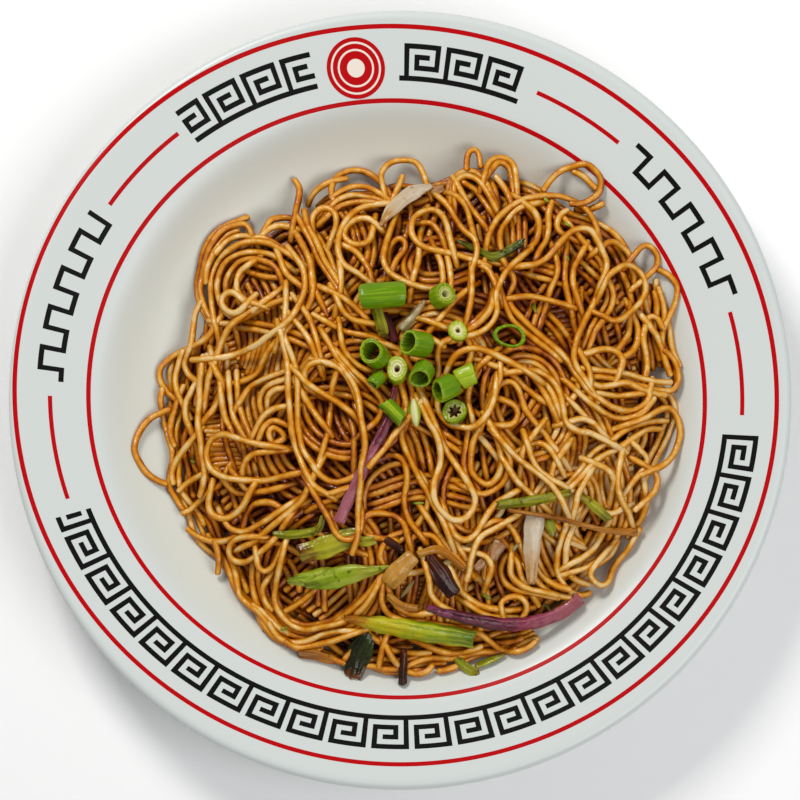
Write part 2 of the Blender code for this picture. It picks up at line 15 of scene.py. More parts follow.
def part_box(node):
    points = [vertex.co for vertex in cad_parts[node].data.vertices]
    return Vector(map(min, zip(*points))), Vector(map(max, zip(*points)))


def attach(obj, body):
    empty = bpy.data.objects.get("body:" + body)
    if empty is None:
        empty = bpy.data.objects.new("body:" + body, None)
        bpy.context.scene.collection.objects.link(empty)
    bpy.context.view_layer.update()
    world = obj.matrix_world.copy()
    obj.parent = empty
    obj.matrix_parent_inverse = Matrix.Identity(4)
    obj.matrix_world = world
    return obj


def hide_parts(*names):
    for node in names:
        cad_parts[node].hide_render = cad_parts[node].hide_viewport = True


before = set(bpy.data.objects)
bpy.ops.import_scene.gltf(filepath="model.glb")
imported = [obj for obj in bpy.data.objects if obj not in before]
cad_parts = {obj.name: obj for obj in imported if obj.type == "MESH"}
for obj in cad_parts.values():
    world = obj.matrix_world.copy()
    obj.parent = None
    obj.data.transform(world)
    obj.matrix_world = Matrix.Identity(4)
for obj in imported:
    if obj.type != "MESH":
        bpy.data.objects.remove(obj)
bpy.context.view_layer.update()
MM = 0.001

# ---------------------------------------------------------------- table, light and camera
# A plain pale table top under a soft window-like light from beyond the plate and a little to
# the left, with a large weak softbox from the near right and pale walls all round. The camera
# looks almost straight down.

CAMERA_ELEVATION = math.radians(84.5)
CAMERA_DISTANCE = 1.05
CAMERA_SENSOR = 36.0
VIEW_WIDTH = 291.2
AIM = Vector((0.0, -0.0017, 0.0315))


def linear(code):
    """An sRGB hex colour as the linear values that shaders use."""
    parts = [int(code[i:i + 2], 16) / 255 for i in (1, 3, 5)]
    return tuple(c / 12.92 if c <= 0.04045 else ((c + 0.055) / 1.055) ** 2.4 for c in parts)


def opaque(code):
    """An sRGB hex colour as the linear RGBA of a colour socket."""
    return (*linear(code), 1)


def add_node(tree, kind, links=(), **settings):
    """A shader node with its settings, and links given as (input, from node, from output)."""
    made = tree.nodes.new(kind)
    for name, value in settings.items():
        if hasattr(made, name):
            setattr(made, name, value)
        else:
            made.inputs[name.replace("_", " ")].default_value = value
    for to, source, output in links:
        tree.links.new(source.outputs[output], made.inputs[to])
    return made


def new_material(name, **constants):
    """A Principled material and its shader node, with some of its sockets set."""
    made = bpy.data.materials.new(name)
    made.use_nodes = True
    shader = made.node_tree.nodes["Principled BSDF"]
    for socket, value in constants.items():
        shader.inputs[socket.replace("_", " ")].default_value = value
    return made, made.node_tree, shader


def new_mesh(name, add, **settings):
    """The object that one of Blender's own mesh makers adds."""
    bpy.ops.object.select_all(action="DESELECT")
    add(**settings)
    made = bpy.context.active_object
    made.name = name
    return made


def aim_at(thing, target):
    direction = Vector(target) - thing.location
    thing.rotation_euler = direction.to_track_quat("-Z", "Y").to_euler()


def add_light(name, place, size, power, tone):
    data = bpy.data.lights.new(name, "AREA")
    data.size = size
    data.energy = power
    data.color = linear(tone)
    lamp = bpy.data.objects.new(name, data)
    bpy.context.scene.collection.objects.link(lamp)
    lamp.location = place
    aim_at(lamp, (0, 0, 0.03))


camera_data = bpy.data.cameras.new("camera")
camera = bpy.data.objects.new("camera", camera_data)
bpy.context.scene.collection.objects.link(camera)
back = Vector((0, -math.cos(CAMERA_ELEVATION), math.sin(CAMERA_ELEVATION)))
camera.location = AIM + back * CAMERA_DISTANCE
aim_at(camera, AIM)
camera_data.sensor_width = CAMERA_SENSOR
camera_data.lens = CAMERA_SENSOR * CAMERA_DISTANCE / (VIEW_WIDTH * MM)
camera_data.clip_start = 0.05
bpy.context.scene.camera = camera
bpy.context.scene.view_settings.view_transform = "Standard"

add_light("window", (-0.42, 0.74, 0.86), 0.32, 9.0, "#FFFDFA")
add_light("softbox", (0.62, -0.42, 1.05), 0.8, 8.0, "#FDFDFF")

world = bpy.data.worlds.new("studio")
bpy.context.scene.world = world
world.use_nodes = True
walls = world.node_tree.nodes["Background"]
walls.inputs["Color"].default_value = opaque("#F4F5F6")
walls.inputs["Strength"].default_value = 0.32

floor = new_mesh("table_top", bpy.ops.mesh.primitive_plane_add, size=3.0,
                 location=(0, 0, -0.0002))
table_paint = new_material("matt_white_table_paint", Base_Color=opaque("#F7F7F7"), Roughness=0.6)
floor.data.materials.append(table_paint[0])

# ---------------------------------------------------------------- plate
# One turned piece of glazed porcelain: a flat floor, a deep well, a wide rim and a rounded
# lip, on a foot ring. Its print lies in the glaze: two red rings, four red arcs, and black
# borders of key fret and stepped line, all faces of the mesh itself so that they stay crisp.

# Lip, rim, well and foot ring
PLATE_RADIUS = 142.5
CREST_RADIUS = 139.5
CREST_HEIGHT = 34.0
LIP_HALF_WIDTH = 2.6
LIP_HALF_HEIGHT = 2.4
RIM_INNER_RADIUS = 111.0
RIM_INNER_HEIGHT = 26.6
FLOOR_RADIUS = 58.0
FLOOR_HEIGHT = 7.0
WALL_THICKNESS = 4.4
FOOT_OUTER_RADIUS = 62.0
FOOT_INNER_RADIUS = 57.0
FOOT_RECESS = 2.6
# The borders' middle radius, the height of their seven rows, and how often they repeat round
# the rim; then the inner and outer radius of the rings and arcs
PRINT_MIDDLE = 124.5
PRINT_PITCH = 1.85
FRET_COLUMNS = 8
FRET_REPEATS = 53
OUTER_RING = (135.85, 137.5)
INNER_RING = (110.4, 112.0)
ARC_BAND = (PRINT_MIDDLE - 0.75, PRINT_MIDDLE + 0.75)
# How the print lies off centre: stretched along one diameter and squeezed across it, moved,
# and moved some more towards the outer ring
STRETCH_HEADING = math.radians(13)
STRETCH = 1.0148
SQUEEZE = 0.9852
PRINT_SHIFT = (-1.21, 0.22)
PRINT_DRIFT = (-0.33, 1.32)
PRINT_INSIDE = 99.0


def well_curve(steps):
    """The well's upper surface from floor to rim: one Bezier curve of radius and height."""
    corners = ((FLOOR_RADIUS, FLOOR_HEIGHT), (94.0, FLOOR_HEIGHT), (101.0, 23.0),
               (RIM_INNER_RADIUS, RIM_INNER_HEIGHT))
    points = []
    for i in range(steps + 1):
        t = i / steps
        weights = ((1 - t) ** 3, 3 * t * (1 - t) ** 2, 3 * t * t * (1 - t), t ** 3)
        points.append(tuple(sum(w * c[k] for w, c in zip(weights, corners)) for k in (0, 1)))
    return points


FINE_WELL = well_curve(60)
WELL_RADII = np.array([0.0] + [p[0] for p in FINE_WELL] + [CREST_RADIUS])
WELL_HEIGHTS = np.array([FLOOR_HEIGHT] + [p[1] for p in FINE_WELL] + [CREST_HEIGHT])


def well_height(radius):
    """Height of the plate's upper surface at a radius, or an array of them."""
    return np.interp(radius, WELL_RADII, WELL_HEIGHTS)


def rim_height(radius):
    """Height of the rim's upper surface, a shallow cone up to the lip."""
    slope = (CREST_HEIGHT - 0.6 - RIM_INNER_HEIGHT) / (CREST_RADIUS - 1.6 - RIM_INNER_RADIUS)
    return RIM_INNER_HEIGHT + slope * (radius - RIM_INNER_RADIUS)


def rim_points():
    """The rim's upper surface, with a point at each edge of the print."""
    rows = [PRINT_MIDDLE + (k - 3.5) * PRINT_PITCH for k in range(8)]
    radii = rows + list(OUTER_RING) + list(ARC_BAND) + [INNER_RING[1], 114.0, 133.4, 138.4]
    return [(radius, rim_height(radius)) for radius in sorted(radii)]


def plate_profile():
    """Radius and height round the plate's section, from the middle of the top outward."""
    top = [(r, FLOOR_HEIGHT) for r in (20.0, 40.0)] + well_curve(26)[:-1]
    top = [p for p in top if p[0] < INNER_RING[0] - 0.3]
    ring_edge = [(INNER_RING[0], float(well_height(INNER_RING[0])))]
    lip = []
    middle = (CREST_RADIUS + 0.4, CREST_HEIGHT - LIP_HALF_HEIGHT)
    for k in range(9):
        angle = math.radians(112 - k * 24.5)
        lip.append((middle[0] + LIP_HALF_WIDTH * math.cos(angle),
                    middle[1] + LIP_HALF_HEIGHT * math.sin(angle)))
    under = []
    for radius, height in reversed(well_curve(14)[1:]):
        under.append((radius + WALL_THICKNESS * 0.45, height - WALL_THICKNESS * 0.95))
    foot_top = FLOOR_HEIGHT - WALL_THICKNESS
    foot = [(FOOT_OUTER_RADIUS + 1.6, foot_top), (FOOT_OUTER_RADIUS + 0.3, foot_top - 0.7)]
    foot += [(FOOT_OUTER_RADIUS, 0.5), (FOOT_OUTER_RADIUS - 0.5, 0.0)]
    foot += [(FOOT_INNER_RADIUS + 0.5, 0.0), (FOOT_INNER_RADIUS, 0.5)]
    foot += [(FOOT_INNER_RADIUS - 0.3, 1.9), (FOOT_INNER_RADIUS - 1.6, FOOT_RECESS)]
    return top + ring_edge + rim_points() + lip + under + foot + [(25.0, FOOT_RECESS)]


def turned(name, profile, sides, closed=False):
    """A solid of revolution: the profile is extruded point by point, then spun. It ends on
    the axis, or where it began if it is closed."""
    made = new_mesh(name, bpy.ops.mesh.primitive_plane_add, size=MM)
    bpy.ops.object.mode_set(mode="EDIT")
    bpy.ops.mesh.select_all(action="SELECT")
    bpy.ops.mesh.merge(type="CENTER")
    points = [Vector((r, 0, z)) for r, z in profile]
    if closed:
        points.append(points[0])
    else:
        points = [Vector((0, 0, profile[0][1]))] + points + [Vector((0, 0, profile[-1][1]))]
    bpy.ops.transform.translate(value=points[0] * MM)
    for before, after in zip(points, points[1:]):
        step = (after - before) * MM
        bpy.ops.mesh.extrude_region_move(TRANSFORM_OT_translate={"value": step})
    bpy.ops.mesh.select_all(action="SELECT")
    bpy.ops.mesh.spin(steps=sides, angle=2 * math.pi, center=(0, 0, 0), axis=(0, 0, 1))
    bpy.ops.mesh.select_all(action="SELECT")
    bpy.ops.mesh.remove_doubles(threshold=0.00001)
    bpy.ops.mesh.normals_make_consistent(inside=False)
    bpy.ops.object.mode_set(mode="OBJECT")
    bpy.ops.object.shade_smooth_by_angle(angle=math.radians(40))
    return made


# Where the print lies round the rim: first and last angle in degrees
RED_ARCS = ((146.1, 129.2), (65.2, 49.1), (14.1, -3.3), (-161.3, -179.1))
BOLD_BORDERS = ((127.2, 103.6), (89.1, 68.0), (-6.7, -159.0))
LIGHT_BORDERS = ((178.4, 148.8), (46.7, 17.2))
# One repeat of each border, outermost row first
KEY_FRET = ("#######.",
            "#.....#.",
            "#.###.#.",
            "#.#...#.",
            "#.#####.",
            "#.......",
            "########")
CASTLE_LINE = ("........",
               "#####...",
               "#...#...",
               "#...#...",
               "#...#...",
               "#...####",
               "........")


def within(angle, spans):
    """Whether an angle in degrees lies in one of the spans, which run clockwise."""
    for first, last in spans:
        if (first - angle) % 360 <= (first - last) % 360:
            return True
    return False


def print_at(radius, angle):
    """0 for bare glaze, 1 for red and 2 for black, at a place on the rim."""
    if OUTER_RING[0] < radius < OUTER_RING[1] or INNER_RING[0] < radius < INNER_RING[1]:
        return 1
    if ARC_BAND[0] < radius < ARC_BAND[1] and within(angle, RED_ARCS):
        return 1
    row = math.floor(3.5 - (radius - PRINT_MIDDLE) / PRINT_PITCH)
    if not 0 <= row < 7:
        return 0
    column = math.floor(-angle / 360 * FRET_COLUMNS * FRET_REPEATS) % FRET_COLUMNS
    if within(angle, BOLD_BORDERS) and KEY_FRET[row][column] == "#":
        return 2
    if within(angle, LIGHT_BORDERS) and CASTLE_LINE[row][column] == "#":
        return 2
    return 0


def add_relief(tree, shader, texture, strength, height):
    """Fine bumps on a material, made by a texture; the height is in metres."""
    bump = add_node(tree, "ShaderNodeBump", [("Height", texture, "Fac")], Strength=strength,
                    Distance=height)
    tree.links.new(bump.outputs["Normal"], shader.inputs["Normal"])


def blended(tree, share, first, second):
    """A colour between two, by the result of a MapRange node. The first may be a link."""
    made = add_node(tree, "ShaderNodeMix", [(0, share, "Result")], data_type="RGBA")
    if isinstance(first, str):
        made.inputs[6].default_value = opaque(first)
    else:
        tree.links.new(first, made.inputs[6])
    made.inputs[7].default_value = opaque(second)
    return made.outputs[2]


def porcelain_glaze():
    """Feldspathic glaze over white porcelain: glassy, cool on the rim, creamier in the well, with
    painted bounce light.
    """
    made, tree, shader = new_material("porcelain_glaze", Roughness=0.3, IOR=1.5,
                                      Specular_IOR_Level=0.3)
    place = add_node(tree, "ShaderNodeTexCoord")
    split = add_node(tree, "ShaderNodeSeparateXYZ", [("Vector", place, "Object")])
    flat = add_node(tree, "ShaderNodeCombineXYZ", [("X", split, "X"), ("Y", split, "Y")])
    far = add_node(tree, "ShaderNodeVectorMath", [("Vector", flat, "Vector")], operation="LENGTH")
    rim_share = add_node(tree, "ShaderNodeMapRange", [("Value", far, "Value")],
                         From_Min=100.0 * MM, From_Max=112.0 * MM)
    # Painted warm bounce light from the noodles: the well turns a little creamier towards the right
    # and far side
    across = add_node(tree, "ShaderNodeVectorMath", [(0, place, "Object")],
                      operation="DOT_PRODUCT")
    across.inputs[1].default_value = (0.6, 0.8, 0.0)
    painted_bounce = add_node(tree, "ShaderNodeMapRange", [("Value", across, "Value")],
                     From_Min=-30.0 * MM, From_Max=110.0 * MM)
    well = blended(tree, painted_bounce, "#D6D9CE", "#D3D0C1")
    tree.links.new(blended(tree, rim_share, well, "#CED4D1"), shader.inputs["Base Color"])
    # Orange-peel of the fired glaze, waves about 6 mm long
    waves = add_node(tree, "ShaderNodeTexNoise", [("Vector", place, "Object")], Scale=160.0)
    add_relief(tree, shader, waves, 0.02, 0.001)
    return made


def fired_enamel(name, code):
    """Screen-printed enamel fired into the glaze: flat colour under the same gloss."""
    return new_material(name, Base_Color=opaque(code), Roughness=0.35, Specular_IOR_Level=0.08)[0]


def shifted_print(x, y):
    """Where a point of the print really lies. The plate's own outline stays round."""
    radius = math.hypot(x, y)
    heading = math.atan2(y, x) + STRETCH_HEADING
    far_x, far_y = STRETCH * radius * math.cos(heading), SQUEEZE * radius * math.sin(heading)
    turned_x = far_x * math.cos(STRETCH_HEADING) + far_y * math.sin(STRETCH_HEADING)
    turned_y = far_y * math.cos(STRETCH_HEADING) - far_x * math.sin(STRETCH_HEADING)
    share = (radius - INNER_RING[0]) / 26.1
    moved = (turned_x + PRINT_SHIFT[0] + PRINT_DRIFT[0] * share,
             turned_y + PRINT_SHIFT[1] + PRINT_DRIFT[1] * share)
    amount = min(max((radius - PRINT_INSIDE) / 8.0, 0.0), 1.0)
    amount *= min(max((PLATE_RADIUS - radius) / (PLATE_RADIUS - OUTER_RING[1]), 0.0), 1.0)
    return x + (moved[0] - x) * amount, y + (moved[1] - y) * amount


def shift_print(mesh, profile):
    """Move the points of the plate's upper surface, with the print, along that surface."""
    upper = profile[:profile.index(max(profile)) + 1]
    radii, heights = [p[0] for p in upper], [p[1] for p in upper]
    for vertex in mesh.vertices:
        x, y, z = vertex.co / MM
        radius = math.hypot(x, y)
        if radius > PRINT_INSIDE and z > np.interp(radius, radii, heights) - 0.4:
            x, y = shifted_print(x, y)
            z += np.interp(math.hypot(x, y), radii, heights) - np.interp(radius, radii, heights)
            vertex.co = (x * MM, y * MM, z * MM)


plate = turned("porcelain_plate", plate_profile(), FRET_COLUMNS * FRET_REPEATS)
red_enamel = fired_enamel("red_fired_enamel", "#B6040B")
for look in (porcelain_glaze(), red_enamel, fired_enamel("black_fired_enamel", "#101010")):
    plate.data.materials.append(look)
for face in plate.data.polygons:
    middle = face.center / MM
    if middle.z > 20 and face.normal.z > 0:
        angle = math.degrees(math.atan2(middle.y, middle.x))
        face.material_index = print_at(math.hypot(middle.x, middle.y), angle)
shift_print(plate.data, plate_profile())
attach(plate, "root")
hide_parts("plate")

# A round red badge printed on the rim between two borders, with pale rings in it. It is a
# thin disc laid on the glaze, as a transfer is before it is fired.

BADGE_RADIUS = 10.6
BADGE_PLACE = (122.9, 96.5)
BADGE_THICKNESS = 0.06
# Widths of its rings from the edge inward, and how far from its middle the pale ones lie
BADGE_RINGS = (1.5, 0.7, 1.8, 0.7, 1.8, 0.9, 1.6)
BADGE_PALE = ((8.4, 9.1), (5.9, 6.6), (0.0, 2.4))


def lay_on_rim(made, lift):
    """Move each point of a flat piece to the rim's surface."""
    for vertex in made.data.vertices:
        x, y = shifted_print(vertex.co.x / MM, vertex.co.y / MM)
        vertex.co.x, vertex.co.y = x * MM, y * MM
        vertex.co.z += (rim_height(math.hypot(x, y)) + lift) * MM


def apply_modifier(made, kind, **settings):
    """Add one modifier with its settings and apply it."""
    bpy.context.view_layer.objects.active = made
    modifier = made.modifiers.new(kind.lower(), kind)
    for name, value in settings.items():
        setattr(modifier, name, value)
    bpy.ops.object.modifier_apply(modifier=modifier.name)


badge_angle = math.radians(BADGE_PLACE[1])
badge_x = BADGE_PLACE[0] * math.cos(badge_angle)
badge_y = BADGE_PLACE[0] * math.sin(badge_angle)
badge = new_mesh("rim_badge", bpy.ops.mesh.primitive_circle_add, vertices=72,
                 radius=BADGE_RADIUS * MM, fill_type="NGON",
                 location=(badge_x * MM, badge_y * MM, 0))
bpy.ops.object.transform_apply(location=True, rotation=True, scale=True)
badge.data.materials.append(red_enamel)
badge.data.materials.append(fired_enamel("cream_fired_enamel", "#E9DFD2"))
bpy.ops.object.mode_set(mode="EDIT")
bpy.ops.mesh.select_all(action="SELECT")
for width in BADGE_RINGS:
    bpy.ops.mesh.inset(thickness=width * MM)
bpy.ops.object.mode_set(mode="OBJECT")
badge_middle = Vector((badge_x * MM, badge_y * MM, 0))
for face in badge.data.polygons:
    far = (face.center - badge_middle).length / MM
    face.material_index = int(any(low <= far < high for low, high in BADGE_PALE))
lay_on_rim(badge, BADGE_THICKNESS)
apply_modifier(badge, "SOLIDIFY", thickness=BADGE_THICKNESS * 1.6 * MM, offset=-1)
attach(badge, "root")

# ---------------------------------------------------------------- core of the heap
# What lies under the noodles that show is more of the same, seen only as brown shade in
# the gaps: its flat dark brown is painted shade. It is one closed body that fits the well and
# stops a few strands below the top.

# The heap's middle, reach and height, how thick it is at its edge, and how full its dome is
HEAP_X, HEAP_Y = 8.0, -6.0
HEAP_RADIUS = 92.5
HEAP_TOP = 43.5
HEAP_EDGE_THICKNESS = 4.5
HEAP_ROUNDNESS = 2.6
# Where the outline bulges: direction in degrees, reach, and half width in degrees
HEAP_BULGES = ((45, 10.0, 22), (78, 4.0, 12), (141, 5.0, 14), (246, 4.5, 18))
OUTLINE_INSET = 3.0
# Long waves in its surface
BUMP_HEIGHT = 1.1
BUMP_WAVES = 5
BUMP_SEED = 11
# How far the core lies under that surface, and inside the outline as a share
CORE_DEPTH = 10.8
CORE_SHARE = 0.9
CORE_SEGMENTS = 96


def outline_reach(angle):
    """Distance from the heap's middle to its outline, in each direction."""
    reach = np.full_like(angle, HEAP_RADIUS - OUTLINE_INSET)
    for direction, size, width in HEAP_BULGES:
        turn = (np.degrees(angle) - direction + 180) % 360 - 180
        reach += size * np.exp(-(turn / width) ** 2)
    return reach


def heap_share(x, y):
    """0 in the heap's middle, 1 on its outline."""
    return np.hypot(x - HEAP_X, y - HEAP_Y) / outline_reach(np.arctan2(y - HEAP_Y, x - HEAP_X))


bump_draw = random.Random(BUMP_SEED)
BUMPS = []
for _ in range(BUMP_WAVES):
    bump_heading = bump_draw.uniform(0, math.pi)
    BUMPS.append((bump_heading, bump_draw.uniform(34, 62), bump_draw.uniform(0, 2 * math.pi)))


def heap_top(x, y):
    """Height of the heap's upper surface, as the solid has it."""
    angle = np.arctan2(y - HEAP_Y, x - HEAP_X)
    reach = outline_reach(angle)
    share = np.minimum(heap_share(x, y), 1.0)
    edge = well_height(np.hypot(HEAP_X + reach * np.cos(angle), HEAP_Y + reach * np.sin(angle)))
    edge = edge + HEAP_EDGE_THICKNESS
    bump = 0.0
    for heading, length, phase in BUMPS:
        along = x * math.cos(heading) + y * math.sin(heading)
        bump = bump + BUMP_HEIGHT * np.sin(2 * math.pi * along / length + phase)
    dome = (1 - share ** HEAP_ROUNDNESS) ** 0.9
    return edge + (HEAP_TOP - edge) * dome + bump * (1 - share ** 2)


def heap_spots(angle, far):
    """Plan points in some directions from the heap's middle."""
    return np.column_stack((HEAP_X + far * np.cos(angle), HEAP_Y + far * np.sin(angle)))


def core_top(x, y):
    return np.maximum(heap_top(x, y) - CORE_DEPTH, well_height(np.hypot(x, y)) + 1.2)


def mesh_object(name, vertices, faces, material):
    """An object from arrays of vertices in millimetres and of faces."""
    mesh = bpy.data.meshes.new(name)
    mesh.from_pydata(np.asarray(vertices) * MM, [], faces)
    mesh.update()
    made = bpy.data.objects.new(name, mesh)
    bpy.context.scene.collection.objects.link(made)
    mesh.materials.append(material)
    return made


# Painted shade: a flat dark brown that stands for the shaded noodles deep in the gaps
shade_brown = new_material("painted_shade_in_the_gaps", Base_Color=opaque("#431603"), Roughness=0.6,
                           Specular_IOR_Level=0.1)[0]
core = new_mesh("noodle_core", bpy.ops.mesh.primitive_circle_add, vertices=CORE_SEGMENTS,
                radius=1.0, fill_type="TRIFAN")
bpy.ops.object.mode_set(mode="EDIT")
bpy.ops.mesh.select_all(action="SELECT")
bpy.ops.mesh.subdivide(number_cuts=7)
bpy.ops.mesh.extrude_region_move(TRANSFORM_OT_translate={"value": (0, 0, 1)})
bpy.ops.mesh.select_all(action="SELECT")
bpy.ops.mesh.normals_make_consistent(inside=False)
bpy.ops.object.mode_set(mode="OBJECT")
for vertex in core.data.vertices:
    angle = math.atan2(vertex.co.y, vertex.co.x)
    far = math.hypot(vertex.co.x, vertex.co.y) * CORE_SHARE
    far *= float(outline_reach(np.array(angle)))
    x, y = HEAP_X + far * math.cos(angle), HEAP_Y + far * math.sin(angle)
    top = core_top(x, y) if vertex.co.z > 0.5 else well_height(math.hypot(x, y)) + 0.4
    vertex.co = (x * MM, y * MM, float(top) * MM)
core.data.materials.append(shade_brown)
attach(core, "root")
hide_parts("noodles")

# ---------------------------------------------------------------- noodles
# Thin wheat noodles, boiled and then tossed in a hot pan with oil and dark soy sauce, so
# that each strand is glossy and unevenly browned. They are laid one by one on the core and
# on each other: each sags over what it crosses, and all but a few dip under the toppings.

# A strand's radius, its sides and the step between its points
STRAND = 1.15
STRAND_SIDES = 12
STEP = 1.3
# How sharply it bends over what it crosses, how far it may stand proud of the heap, and what
# share of the rest it is pressed down by
SAG_RADIUS = 11.0
PROUD = 0.6
PRESS = 0.4
# How far an end is tucked in, how deep, and up to what share of the heap's reach
TUCK = 6.5
TUCK_DEPTH = 3.2
TUCK_SHARE = 0.95
# It is laid some points at a time, each time over its own turns up to a few points back
LAY_BLOCK = 6
LAY_LAG = 7
SHORTEST_POINTS = 9
# Height maps: width and number of their cells, their lowest x and y, and a height over all
CELL = 0.5
MAP_CELLS = 489
MAP_LOW = -122.0
OPEN_SKY = 200.0
# Loose noodles: millimetres in which a bend dies out, how fast one turns back at the heap's
# edge, and how many places and paths are tried for each bundle, with its lanes this far apart
BEND_MEMORY = 16.0
TURN_BACK = 1.6
SHARPEST_TURN = 0.13
SPOTS_TRIED = 60
PATHS_TRIED = 6
LANE_GAP = (2.3, 2.8)
FILL_BELOW = 4.0
NOODLE_SEED = 23
NOODLE_PARTS = 5
# How dark with soy a strand is on average, and how much that changes from strand to strand and
# along one; then painted shade for each millimetre that it lies under others or low in the heap,
# and painted shade on its sides, which leaves a painted highlight along its top
MEAN_SAUCE = 0.19
STRAND_SAUCE = 0.15
PATCH_SAUCE = 0.12
DEEP_SHADE = 0.03
SIDE_SHADE = 0.5
# Gathered soy and painted shade, or painted light where negative: x, y, reach and how much darker
SAUCE_AND_SHADE_POOLS = ((-25, -33, 34, 0.15), (42, 38, 30, 0.08), (0, 62, 60, 0.05), (69, -42, 24, -0.2),
               (-47, 4, 22, -0.09), (70, -10, 22, -0.06), (-10, -75, 30, -0.04),
               (-57, 22, 18, -0.07), (52, 18, 18, 0.07), (24, -56, 12, -0.09))
# What a patch adds for each millimetre that a strand lies under others, as a share: painted shade
POOL_SHADE_DEPTH = 0.5

noodle_draw = random.Random(NOODLE_SEED)
map_axis = MAP_LOW + CELL * np.arange(MAP_CELLS)
MAP_X, MAP_Y = np.meshgrid(map_axis, map_axis)
mark_reach = int(2 * STRAND / CELL) + 1
MARK_CELLS = np.array([(i, j) for i in range(-mark_reach, mark_reach + 1)
                       for j in range(-mark_reach, mark_reach + 1)])


def spread(surface, radius, way):
    """Height of a ball's middle where it touches a surface, from above or, way -1, below."""
    best = surface + way * radius
    reach = int(radius / CELL)
    pick = np.maximum if way > 0 else np.minimum
    for i in range(-reach, reach + 1):
        for j in range(-reach, reach + 1):
            gap = radius ** 2 - (i * i + j * j) * CELL ** 2
            if gap > 0:
                best = pick(best, np.roll(surface, (i, j), (0, 1)) + way * math.sqrt(gap))
    return best


def read_map(heights, points):
    """A height map's values at plan points, between its cells."""
    place = np.clip((points[:, :2] - MAP_LOW) / CELL, 0, MAP_CELLS - 1.001)
    cell = place.astype(int)
    share = place - cell
    i, j = cell[:, 0], cell[:, 1]
    low = heights[j, i] * (1 - share[:, 0]) + heights[j, i + 1] * share[:, 0]
    high = heights[j + 1, i] * (1 - share[:, 0]) + heights[j + 1, i + 1] * share[:, 0]
    return low * (1 - share[:, 1]) + high * share[:, 1]


def mark_map(heights, points):
    """Raise a map round noodles that have been laid, so that the next one clears them."""
    cell = np.rint((points[:, :2] - MAP_LOW) / CELL).astype(int)
    i = np.clip(cell[:, 0, None] + MARK_CELLS[:, 0], 0, MAP_CELLS - 1)
    j = np.clip(cell[:, 1, None] + MARK_CELLS[:, 1], 0, MAP_CELLS - 1)
    far_x = MAP_LOW + CELL * i - points[:, 0, None]
    far_y = MAP_LOW + CELL * j - points[:, 1, None]
    gap = (2 * STRAND) ** 2 - far_x ** 2 - far_y ** 2
    height = points[:, 2, None] + np.sqrt(np.maximum(gap, 0.0))
    near = gap > 0
    np.maximum.at(heights, (j[near], i[near]), height[near])


def solid_tree(name):
    """A solid of the frame in millimetres, for rays."""
    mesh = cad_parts[name].data
    return BVHTree.FromPolygons([v.co / MM for v in mesh.vertices],
                                [tuple(p.vertices) for p in mesh.polygons])


def node_maps(names):
    """Height maps of the tops and the undersides of some nodes, and bare elsewhere."""
    tops = np.full(MAP_X.shape, -OPEN_SKY)
    undersides = np.full(MAP_X.shape, OPEN_SKY)
    up = Vector((0, 0, 1))
    for name in names:
        tree = solid_tree(name)
        low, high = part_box(name)
        first = [int((low[k] / MM - MAP_LOW) / CELL) for k in (0, 1)]
        last = [int((high[k] / MM - MAP_LOW) / CELL) + 2 for k in (0, 1)]
        for i in range(first[0], last[0]):
            for j in range(first[1], last[1]):
                x, y = map_axis[i], map_axis[j]
                above = tree.ray_cast(Vector((x, y, OPEN_SKY)), -up)[0]
                below = tree.ray_cast(Vector((x, y, -OPEN_SKY)), up)[0]
                if above and below:
                    tops[j, i] = max(tops[j, i], above.z)
                    undersides[j, i] = min(undersides[j, i], below.z)
    return tops, undersides


toppings = [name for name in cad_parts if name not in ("plate", "noodles")]
topping_tops, topping_undersides = node_maps(toppings)
over_toppings = spread(topping_tops, STRAND, 1)
under_toppings = spread(topping_undersides, STRAND, -1)
inside_core = heap_share(MAP_X, MAP_Y) < CORE_SHARE
ground = well_height(np.hypot(MAP_X, MAP_Y)) + 0.5
ground = np.where(inside_core, np.maximum(core_top(MAP_X, MAP_Y), ground), ground)
rest = spread(ground, STRAND, 1)
wanted = heap_top(MAP_X, MAP_Y) + 0.3
strands = []


def sagging(contact):
    """Heights of a noodle that bends over its points of contact and hangs between them."""
    along = np.arange(len(contact)) * STEP
    drop = (along[:, None] - along[None, :]) ** 2 / (2 * SAG_RADIUS)
    return eased(np.max(contact[None, :] - drop, axis=1), 2)


def eased(values, times):
    for _ in range(times):
        values = values.copy()
        values[1:-1] = (values[:-2] + 2 * values[1:-1] + values[2:]) / 4
    return values


def tucked(path, free, tuck):
    """A path made longer at each end that isn't free, as far as the heap reaches, and how
    deep each point is pushed."""
    steps = int(tuck / STEP)
    run = np.arange(1, steps + 1)[:, None] * STEP
    deep = np.zeros(len(path))
    path, deep = path[::-1], deep[::-1]
    for bit in (1, 2):
        if not free & bit:
            ahead = path[-1] - path[-3]
            more = path[-1] + run * ahead / np.linalg.norm(ahead)
            more = more[heap_share(more[:, 0], more[:, 1]) < TUCK_SHARE]
            path = np.vstack((path, more))
            deep = np.append(deep, TUCK_DEPTH * (np.arange(1, len(more) + 1) / steps) ** 1.5)
        path, deep = path[::-1], deep[::-1]
    return path[::-1], deep[::-1]


